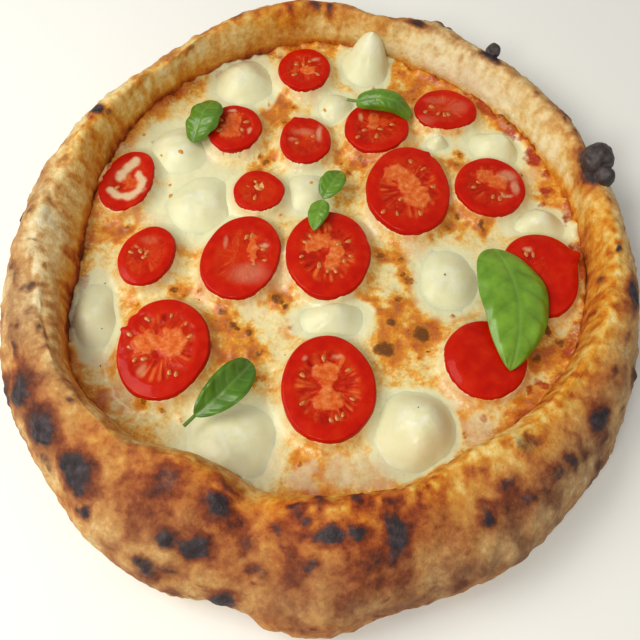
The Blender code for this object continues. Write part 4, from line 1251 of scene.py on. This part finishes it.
def make_tomato(number):
    """A ring skin round the slice's middle: its underside, its rounded side and its face."""
    tomato = TOMATOES[number]
    turn = circle(TOMATO_COLUMNS)
    reach = slice_reach(number, turn) * SIDE_SHARE[:, None]
    x, y = tomato.x + reach * np.cos(turn), tomato.y + reach * np.sin(turn)
    ground = cheese_height(x, y) + GAP - TOMATO_SINK
    rise = SIDE_LEVEL[:, None]
    level = ground + (slice_top(number, x, y) - ground) * rise
    rings = np.stack([x, y, level], -1)
    maps, _, inner = slice_maps(number, x, y)
    maps["cut"] = inner * (CUTS[number].streaks > 0)
    top = soft_step(rise, 0.9, 1.0)
    values = {key: with_poles(field * top) for key, field in maps.items()}
    side = soft_step(SIDE_SHARE, 0.955, 0.99)[:, None]
    values["side"] = with_poles(np.broadcast_to(side, x.shape))
    points, faces = skin(rings)
    made = new_piece(f"tomato_slice_{number + 1:02d}", points, faces, values)
    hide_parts(f"tomato_{number + 1:02d}")
    return made


tomatoes = [make_tomato(number) for number in range(len(TOMATOES))]
print("tomato slices:", len(tomatoes))

# %% [markdown]
# ## The tomato slices: their finish
# Wet tomato is a deep clear red that light goes into. The coat is the juice on the cut.
# Core, jelly, streaks and film each blend their own colour over the red. The film's pale
# cream is milk run over the cut, and in its smallest ovals painted glints of juice.

# %% Cut tomato
def cut_tomato():
    flesh = Finish("cut_wet_tomato")
    fine, patch = flesh.swing(0.9), flesh.swing(6.0, 3.0, 0.5, 0.3)
    red = flesh.scale(fine, 0.08, flesh.scale(patch, 0.9, 0.5))
    colour = flesh.ramp(red, (0.2, "#ad0d02"), (0.5, "#c01803"), (0.8, "#ca2c0a"))
    colour = flesh.blend(flesh.value("side"), colour, "#b51203")
    cut = flesh.scale(flesh.scale(patch, 1.2, 0.45), flesh.value("cut"), clamp=True)
    colour = flesh.blend(cut, colour, "#c4360e")
    streaks = flesh.scale(fine, 0.5, flesh.value("streaks"))
    colour = flesh.over(colour, streaks, 1.5, -0.20, "#d9652a")
    colour = flesh.over(colour, streaks, -1.5, -0.20, "#970f05")
    pulp = flesh.ramp(flesh.grain(2.2), (0.35, "#9c1004"), (0.55, "#b82009"), (0.72, "#cc4a18"))
    colour = flesh.blend(flesh.scale(flesh.value("jelly"), 0.8), colour, pulp)
    core = flesh.scale(fine, 0.5, flesh.value("core"))
    pith = flesh.ramp(flesh.grain(2.6, 4.0), (0.30, "#c8501a"), (0.50, "#d96c2e"),
                      (0.72, "#e4935a"))
    colour = flesh.over(colour, core, 1.15, -0.25, pith)
    # Pale cream over the red: milk run over the cut, and in small ovals painted glints of juice.
    film = flesh.scale(flesh.scale(fine, 0.8, 1.0), flesh.value("film"), clamp=True)
    colour = flesh.blend(flesh.scale(film, 0.88), colour, "#ddc59c")
    small = flesh.bump(flesh.grain(1.6, 1.0), 0.06, 0.3)
    wide = flesh.bump(flesh.grain(3.4, 1.0), 0.30, 0.4, small)
    flesh.glow(0.22, 1.0, 0.15, 0.05, scale=0.004)
    flesh.coat(0.12, 0.08)
    return flesh.done(Base_Color=colour, Roughness=0.30, Specular_IOR_Level=0.06, Normal=wide)


tomato_finish = cut_tomato()
for piece in tomatoes:
    piece.data.materials.append(tomato_finish)
print("the slices wear", tomato_finish.name)

# %% [markdown]
# ## The seeds
# The seeds are flat drops about three millimetres long that lie in the jelly with their
# points to the middle of the slice. All of them are one mesh, made at their real size.

# %% Seeds
DROP_GRID = 12, 7, 75  # columns, rows and latitude
DROP_POINT = 0.28  # how much narrower a drop is at its front
SEED_HALVES = (1.25, 1.9), (0.75, 1.1), (0.45, 0.6)  # ranges of half length, width, height
SEED_LIFT = 0.02


def many_drops(name, middles, ways, halves):
    """One mesh of many closed egg shapes: middles (n, 3), headings (n,), half sizes (n, 3)."""
    rings = ball(*DROP_GRID)
    rings[..., 1] *= 1 - DROP_POINT * rings[..., 0]
    unit, faces = skin(rings, [(0, 0, -1), (0, 0, 1)])
    c, s = np.cos(ways)[:, None], np.sin(ways)[:, None]
    scaled = unit[None] * halves[:, None]
    x = scaled[..., 0] * c - scaled[..., 1] * s
    y = scaled[..., 0] * s + scaled[..., 1] * c
    points = np.stack([x, y, scaled[..., 2]], -1) + middles[:, None]
    starts = len(unit) * np.arange(len(ways))
    every = [[int(start) + corner for corner in face] for start in starts for face in faces]
    return new_piece(name, points.reshape(-1, 3), every)


def make_seeds():
    """All seeds in one mesh: each points roughly to the middle of its slice."""
    middles, ways = [], []
    for number, cut in enumerate(CUTS):
        if not cut.seeds:
            continue
        x, y = np.array(cut.seeds, float).T
        middles.append(np.column_stack([x, y, slice_top(number, x, y) + SEED_LIFT]))
        heading = np.arctan2(TOMATOES[number].y - y, TOMATOES[number].x - x)
        ways.append(heading + random.uniform(-0.5, 0.5, len(x)))
    middles, ways = np.concatenate(middles), np.concatenate(ways)
    halves = np.column_stack([random.uniform(*both, len(ways)) for both in SEED_HALVES])
    return many_drops("tomato_seeds", middles, ways, halves)


def seed_coat():
    seed = Finish("wet_tomato_seed")
    colour = seed.ramp(seed.grain(0.9, 2.0), (0.35, "#b85a16"), (0.6, "#cc7a26"), (0.8, "#dd9c48"))
    seed.glow(0.3, 1.0, 0.5, 0.2, scale=0.002)
    seed.coat(0.6, 0.1)
    return seed.done(Base_Color=colour, Roughness=0.3)


seeds = make_seeds()
seeds.data.materials.append(seed_coat())
print("seeds:", len(seeds.data.polygons), "faces")

# %% [markdown]
# ## The mozzarella
# Lumps of fresh mozzarella slump as they melt: a low dome with soft dents, whose foot runs
# out flat and melts into the cheese with no step. The outline is the plain one, smoothed
# and a little wider. The second lump leans on the rim and ends in a peak; five lumps have
# run out further than the rest.

# %% Mozzarella surfaces
MOZZARELLA_COLUMNS, DOME_ROWS = 128, 46
MOZZARELLA_SINK = 0.5
LUMP_WIDER, LUMP_LOWER = 1.06, 0.90  # every lump, against the plain solid
SOFTENED = {  # lumps that have run out further: how much wider and how much lower again
    7: (1.08, 0.85), 8: (1.15, 0.76), 10: (1.20, 0.74), 11: (1.10, 0.85), 12: (1.12, 0.85),
}
PEAKED, PEAK_HEIGHT, PEAK_WIDTH = 1, 2.6, 2.6  # the lump that ends in a peak; millimetres
LUMP_DENTS = [(0.9, 8.5, 101, 1), (0.35, 3.6, 102, 1), (0.10, 1.5, 103, 1)]  # for waves()
RIM_SPACE = 0.6


def dome(share):
    """Height share of a slumped dome, (1 - share^2.6)^2.6: round on top and flat at its foot."""
    return np.maximum(1 - np.maximum(share, 0) ** 2.6, 0) ** 2.6


def smoothed(values, steps):
    """The mean of each value and its neighbours, that many steps each way, round the outline."""
    return sum(np.roll(values, step) for step in range(-steps, steps + 1)) / (2 * steps + 1)


def make_mozzarella(number):
    """A dome over the smoothed outline, leaning as it rises and kept inside the rim."""
    lump = MOZZARELLA[number]
    turn = circle(MOZZARELLA_COLUMNS)
    share = np.concatenate([[0.4, 0.8, 0.96], np.linspace(1.0, 0.02, DOME_ROWS)])[:, None]
    rise = dome(share) * np.concatenate([[0, 0, 0], np.ones(DOME_ROWS)])[:, None]
    reach = mozzarella_reach(lump, turn)
    reach = smoothed(np.minimum(reach, smoothed(reach, 13)), 5)
    wider, lower = SOFTENED.get(number, (1.0, 1.0))
    reach = LUMP_WIDER * wider * reach
    rounder = LUMP_WIDER * reach.mean() * (1 - share) + reach * share
    away = np.minimum(share * rounder, reach)
    x = lump.x + away * np.cos(turn) + lump.lean_x * rise
    y = lump.y + away * np.sin(turn) + lump.lean_y * rise
    limit = dented(RIM_INNER, np.arctan2(y, x), "inner") - RIM_SPACE
    inside = np.minimum(1, limit / np.maximum(np.hypot(x, y), 1e-6))
    keep = np.where(rise < 0.35, inside, 1)
    x, y = x * keep, y * keep
    dents = waves(at_level(x, y, 7.0 * number), *LUMP_DENTS)
    height = LUMP_LOWER * lower * lump.height * rise * (1 + 0.04 * dents) + 0.34 * dents * rise
    if number == PEAKED:
        from_peak = np.hypot(x - lump.x - lump.lean_x, y - lump.y - lump.lean_y)
        height = 0.93 * height + PEAK_HEIGHT * np.exp(-from_peak / PEAK_WIDTH) * rise
    level = cheese_height(x, y) + soft_waves(x, y) + GAP + height - MOZZARELLA_SINK * (1 - rise)
    rings = np.stack([x, y, level], -1)
    points, faces = skin(rings)
    values = {"edge": with_poles(1 - rise * np.ones_like(x))}
    made = new_piece(f"mozzarella_lump_{number + 1:02d}", points, faces, values)
    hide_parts(f"mozzarella_{number + 1:02d}")
    return made


def soft_mozzarella():
    milky = Finish("melted_fresh_mozzarella")
    patch = milky.grain(6.0, 3.0, 0.5, 0.5)
    colour = milky.ramp(patch, (0.30, "#dcd9ac"), (0.52, "#e2e0bd"), (0.72, "#e6e6ce"))
    colour = milky.blend(milky.value("edge"), colour, CHEESE_MILD)
    milky.glow(0.35, 1.0, 0.8, 0.45, scale=0.003)
    milky.coat(0.2, 0.12)
    return milky.done(Base_Color=colour, Roughness=0.44, Specular_IOR_Level=0.3,
                      Normal=milky.bump(milky.grain(1.6), 0.18, 0.5))


mozzarella_finish = soft_mozzarella()
lumps = [make_mozzarella(number) for number in range(len(MOZZARELLA))]
for piece in lumps:
    piece.data.materials.append(mozzarella_finish)
print("mozzarella lumps:", len(MOZZARELLA))

# %% [markdown]
# ## The little things on top
# Specks of dried herb lie on the cheese and on the lumps, and a few flat drops of orange
# oil. Their heights come from a ray let fall on the pieces below, so nothing floats.

# %% Specks and oil
SPECKS = [
    (-98, -31), (-97, -48), (-16, -43), (40, -71), (39, -31), (-56, -15), (57, -4), (-100, -7),
]
OIL_DROPS = [(-80, 65), (-70, 65), (-75, 49), (-74, 42), (-91, 80), (2, 95), (-20, 31), (-5, 48)]
RAY_START = 80  # millimetres, above everything
DROP_LIFT = 0.2  # share of a drop's half height by which its middle lies above the surface


def tops(spots, pieces):
    """Height in millimetres of the highest piece under each spot, by a falling ray."""
    down = Vector((0, 0, -1))
    heights = []
    for x, y in spots:
        hits = [piece.ray_cast(Vector((x, y, RAY_START)) * MM, down) for piece in pieces]
        heights.append(max([hit[1].z / MM for hit in hits if hit[0]], default=CHEESE_TOP))
    return np.array(heights)


def lay(name, spots, halves):
    """Many little drops laid on whatever lies below them, in one mesh."""
    level = tops(spots, [cheese, *lumps]) + DROP_LIFT * halves[:, 2]
    ways = random.uniform(0, 6, len(spots))
    return many_drops(name, np.column_stack([spots, level]), ways, halves)


speck_count = len(SPECKS)
speck_sizes = np.column_stack([random.uniform(0.3, 0.6, speck_count),
                               random.uniform(0.25, 0.4, speck_count), np.full(speck_count, 0.16)])
specks = lay("herb_specks", SPECKS, speck_sizes)
herb = Finish("dried_herb")
herb.coat(0.0, 0.05)
specks.data.materials.append(herb.done(Base_Color=linear("#5a4420"), Roughness=0.8))
oil_sizes = random.uniform(0.8, 1.5, len(OIL_DROPS))
oil_sizes = np.column_stack([oil_sizes, 0.8 * oil_sizes, 0.18 * oil_sizes])
oil = lay("oil_drops", OIL_DROPS, oil_sizes)
amber = Finish("amber_oil")
amber.coat(0.4, 0.05)
oil.data.materials.append(amber.done(Base_Color=linear("#d38a22"), Roughness=0.2))
print("specks:", len(SPECKS), "oil drops:", len(OIL_DROPS))

# %% [markdown]
# ## The basil
# A basil leaf arches over its midrib, and the blade puffs up between the side veins. The
# grid runs from stem to tip and across from edge to edge, once for the upper side and
# back for the lower side, so the leaf is closed. Veins are grooves on top.

# %% Basil leaves
Leaf = namedtuple("Leaf", "base tip half_width arch bow lift roll ripple stem swell taper droop")
BASIL = [Leaf(*row) for row in [
    ((-64, 70, 15.5), (-55, 94, 20), 9, 4, 0, -1.5, -12, 0.9, 0, 0.50, 0.42, 1.5),
    ((18, 93, 19.5), (46, 87.5, 19), 5.6, 5.5, 0, -2.5, 24, 0.3, 5, 0.28, 0.30, 4.0),
    ((1, 35.5, 16.5), (10, 52, 15.5), 6, 2.5, 0, 1.2, 0, 0.4, 0, 0.55, 0.60, 0),
    ((0.5, 33, 18.5), (-3.5, 16.5, 18), 5, 1.5, 0, 0.8, 10, 0.3, 0, 0.50, 0.70, 0),
    ((79, 6, 18.5), (80.5, -54, 18), 15.5, 5.5, 6, -2, -6, 0.7, 0, 0.50, 0.72, 0),
    ((-52.5, -74, 17.5), (-30, -49.5, 17), 7.8, 3.5, -2, 3.4, 20, 0.7, 6, 0.60, 0.45, 0.5),
]]
LEAF_TONES = [-0.16, -0.10, -0.06, 0.0, 0.12, -0.26]  # darker below 0
LEAF_ROWS, LEAF_COLUMNS = 96, 49
LEAF_TIP, STEM_HALF_WIDTH, LEAF_HALF_THICKNESS = 0.4, 0.8, 0.38
STEM_JOIN = 0.2
VEIN_PAIRS, VEIN_SHIFT, VEIN_SWEEP = 5.5, 0.18, 0.16
RIB_WIDTH, VEIN_WIDTH, PUFF_WIDTH, PUFF_START = 0.8, 0.55, 2.2, 3.0
PUFF_HEIGHT, RIB_DEPTH, VEIN_DEPTH, EDGE_CURL = 0.45, 0.30, 0.12, 0.9
LEAF_NOISE = (0.25, 4, 111, 1)  # for waves()


def leaf_axes(leaf):
    """(base, length, along, flat, rise): the stem's end and the directions of the leaf."""
    base, tip = np.array(leaf.base, float), np.array(leaf.tip, float)
    length = np.linalg.norm(tip - base)
    along = (tip - base) / length
    flat = np.cross((0, 0, 1), along)
    flat /= np.linalg.norm(flat)
    return base, length, along, flat, np.cross(along, flat)


def leaf_half_width(leaf, blade):
    """Outline: blade^swell times (1 - blade)^taper, scaled to the half width at its peak."""
    widest = leaf.swell / (leaf.swell + leaf.taper)
    peak = widest**leaf.swell * (1 - widest) ** leaf.taper
    half = leaf.half_width * blade**leaf.swell * (1 - blade) ** leaf.taper / peak
    return np.maximum(half, np.where(blade < STEM_JOIN, STEM_HALF_WIDTH, LEAF_TIP))


def leaf_veins(blade, across, half, length):
    """(rib, veins, puffs): the midrib, the side veins and the blade puffed up between them."""
    phase = (blade - VEIN_SWEEP * np.abs(across) ** 1.4) * VEIN_PAIRS
    phase = phase + np.where(across > 0, 0.0, VEIN_SHIFT)
    gap = np.abs(phase - np.round(phase)) / VEIN_PAIRS * length
    fade = soft_step(np.abs(across), 0.95, 0.5) * soft_step(blade, 0.05, 0.15)
    puffs = (1 - bell(gap, PUFF_WIDTH)) * (1 - bell(across * half, PUFF_START))
    return bell(across * half, RIB_WIDTH), bell(gap, VEIN_WIDTH) * fade, puffs


def make_leaf(number):
    """A grid from stem to tip, back across the upper side and on across the lower side."""
    leaf = BASIL[number]
    base, length, along, flat, rise = leaf_axes(leaf)
    angle = math.radians(leaf.roll)
    side = flat * math.cos(angle) + rise * math.sin(angle)
    up = rise * math.cos(angle) - flat * math.sin(angle)
    across = np.linspace(-1, 1, LEAF_COLUMNS)[None]
    way = np.linspace(0, 1, LEAF_ROWS)[:, None] * (length + leaf.stem) - leaf.stem
    blade = np.clip(way / length, 0, 1)
    half = leaf_half_width(leaf, blade)
    rib, veins, puffs = leaf_veins(blade, across, half, length)
    on_blade = soft_step(blade, 0.02, 0.12) * soft_step(np.abs(across), 1.0, 0.8)
    points = np.stack(np.broadcast_arrays(way, across * half, 9.0 * number), -1)
    relief = on_blade * (PUFF_HEIGHT * puffs + waves(points, LEAF_NOISE))
    relief = relief - RIB_DEPTH * rib - VEIN_DEPTH * veins
    hump = 4 * blade * (1 - blade)
    fold = leaf.ripple * np.sin(17 * blade + 2 * across) * np.abs(across) * hump
    over = leaf.lift * across**2 * hump + fold + relief
    over = over - EDGE_CURL * soft_step(np.abs(across), 0.72, 1.0) * hump
    body = base + along * way[..., None] + (rise * leaf.arch + flat * leaf.bow) * hump[..., None]
    body = body - rise * (leaf.droop * soft_step(blade, 0.55, 1.0) ** 2)[..., None]
    place = body + side * (across * half)[..., None] + up * over[..., None]
    stem = STEM_HALF_WIDTH * np.sqrt(np.maximum(1 - across**2, 0.0))
    thin = LEAF_HALF_THICKNESS * np.sqrt(np.maximum(1 - across**2, 0.02))
    thin = up * np.where(way < 0, stem, thin)[..., None]
    rings = np.concatenate([(place + thin)[:, ::-1], place - thin], axis=1)

    def twice(upper, lower):
        """Values for the upper side, which the rings cross backwards, and the lower side."""
        return with_poles(np.concatenate([upper[:, ::-1], lower], axis=1))

    grooves, raised = np.maximum(rib, 0.7 * veins), puffs * on_blade
    tone = np.full_like(puffs, LEAF_TONES[number])
    values = {
        "veins": twice(grooves, grooves), "puffs": twice(raised, raised),
        "below": twice(np.zeros_like(puffs), np.ones_like(puffs)), "tone": twice(tone, tone),
    }
    points, faces = skin(rings)
    made = new_piece(f"basil_leaf_{number + 1:02d}", points, faces, values)
    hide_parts(f"basil_{number + 1:02d}")
    return made


def basil_blade():
    green = Finish("fresh_basil_leaf")
    tone = green.scale(green.swing(7.0), 0.8, 0.5)
    tone = green.scale(green.value("puffs"), 0.12, tone)
    tone = green.calc("ADD", tone, green.value("tone"))
    colour = green.ramp(tone, (0.1, "#3c640c"), (0.5, "#5a8612"), (0.85, "#7aa52a"))
    colour = green.blend(green.scale(green.value("veins"), 0.32), colour, "#86a84a")
    colour = green.blend(green.value("below"), colour, "#7f9a52")
    green.glow(0.15, 0.5, 1.0, 0.15, scale=0.001)
    green.coat(0.45, 0.20)
    return green.done(Base_Color=colour, Roughness=0.40, Specular_IOR_Level=0.3,
                      Normal=green.bump(green.grain(0.8, 2.0), 0.12, 0.5))


basil_finish = basil_blade()
for number in range(len(BASIL)):
    make_leaf(number).data.materials.append(basil_finish)
print("basil leaves:", len(BASIL))

# %% [markdown]
# ## Floor and light
# The photograph is lit like a shop picture: everything bright, with soft shadows falling to
# the lower right and wet glints that face the viewer. A high lamp at the back left casts
# the shadows, a wide panel at the front gives the glints, and a pale sky fills the rest.

# %% Stage
def area_light(name, place, size, power):
    """A square lamp that looks at the middle of the pizza, sizes in metres and watts."""
    lamp = bpy.data.objects.new(name, bpy.data.lights.new(name, "AREA"))
    lamp.data.size = size
    lamp.data.energy = power
    lamp.data.color = linear("#f8f5ea")[:3]
    lamp.location = place
    lamp.rotation_euler = (-Vector(place)).to_track_quat("-Z", "Y").to_euler()
    bpy.context.scene.collection.objects.link(lamp)


FLOOR_LEVEL = -0.0002  # metres, just under the crust
floor_mesh = bpy.data.meshes.new("floor")
corners = [(x, y, FLOOR_LEVEL) for x, y in [(-2, -2), (2, -2), (2, 2), (-2, 2)]]
floor_mesh.from_pydata(corners, [], [(0, 1, 2, 3)])
floor = bpy.data.objects.new("floor", floor_mesh)
bpy.context.scene.collection.objects.link(floor)
pale = Finish("plain_pale_floor").done(Base_Color=linear("#f4f3f1"), Roughness=0.9)
floor.data.materials.append(pale)

area_light("window", (-0.53, 0.0, 0.64), 0.52, 4.8)
area_light("panel", (-0.28, -0.52, 0.62), 0.24, 2.2)
sky = bpy.data.worlds.new("pale_sky")
sky.use_nodes = True
background = sky.node_tree.nodes["Background"]
background.inputs["Color"].default_value = linear("#f3f3ee")
background.inputs["Strength"].default_value = 0.46
bpy.context.scene.world = sky
bpy.context.scene.view_settings.view_transform = "Standard"
print("lamps: window, panel and sky")
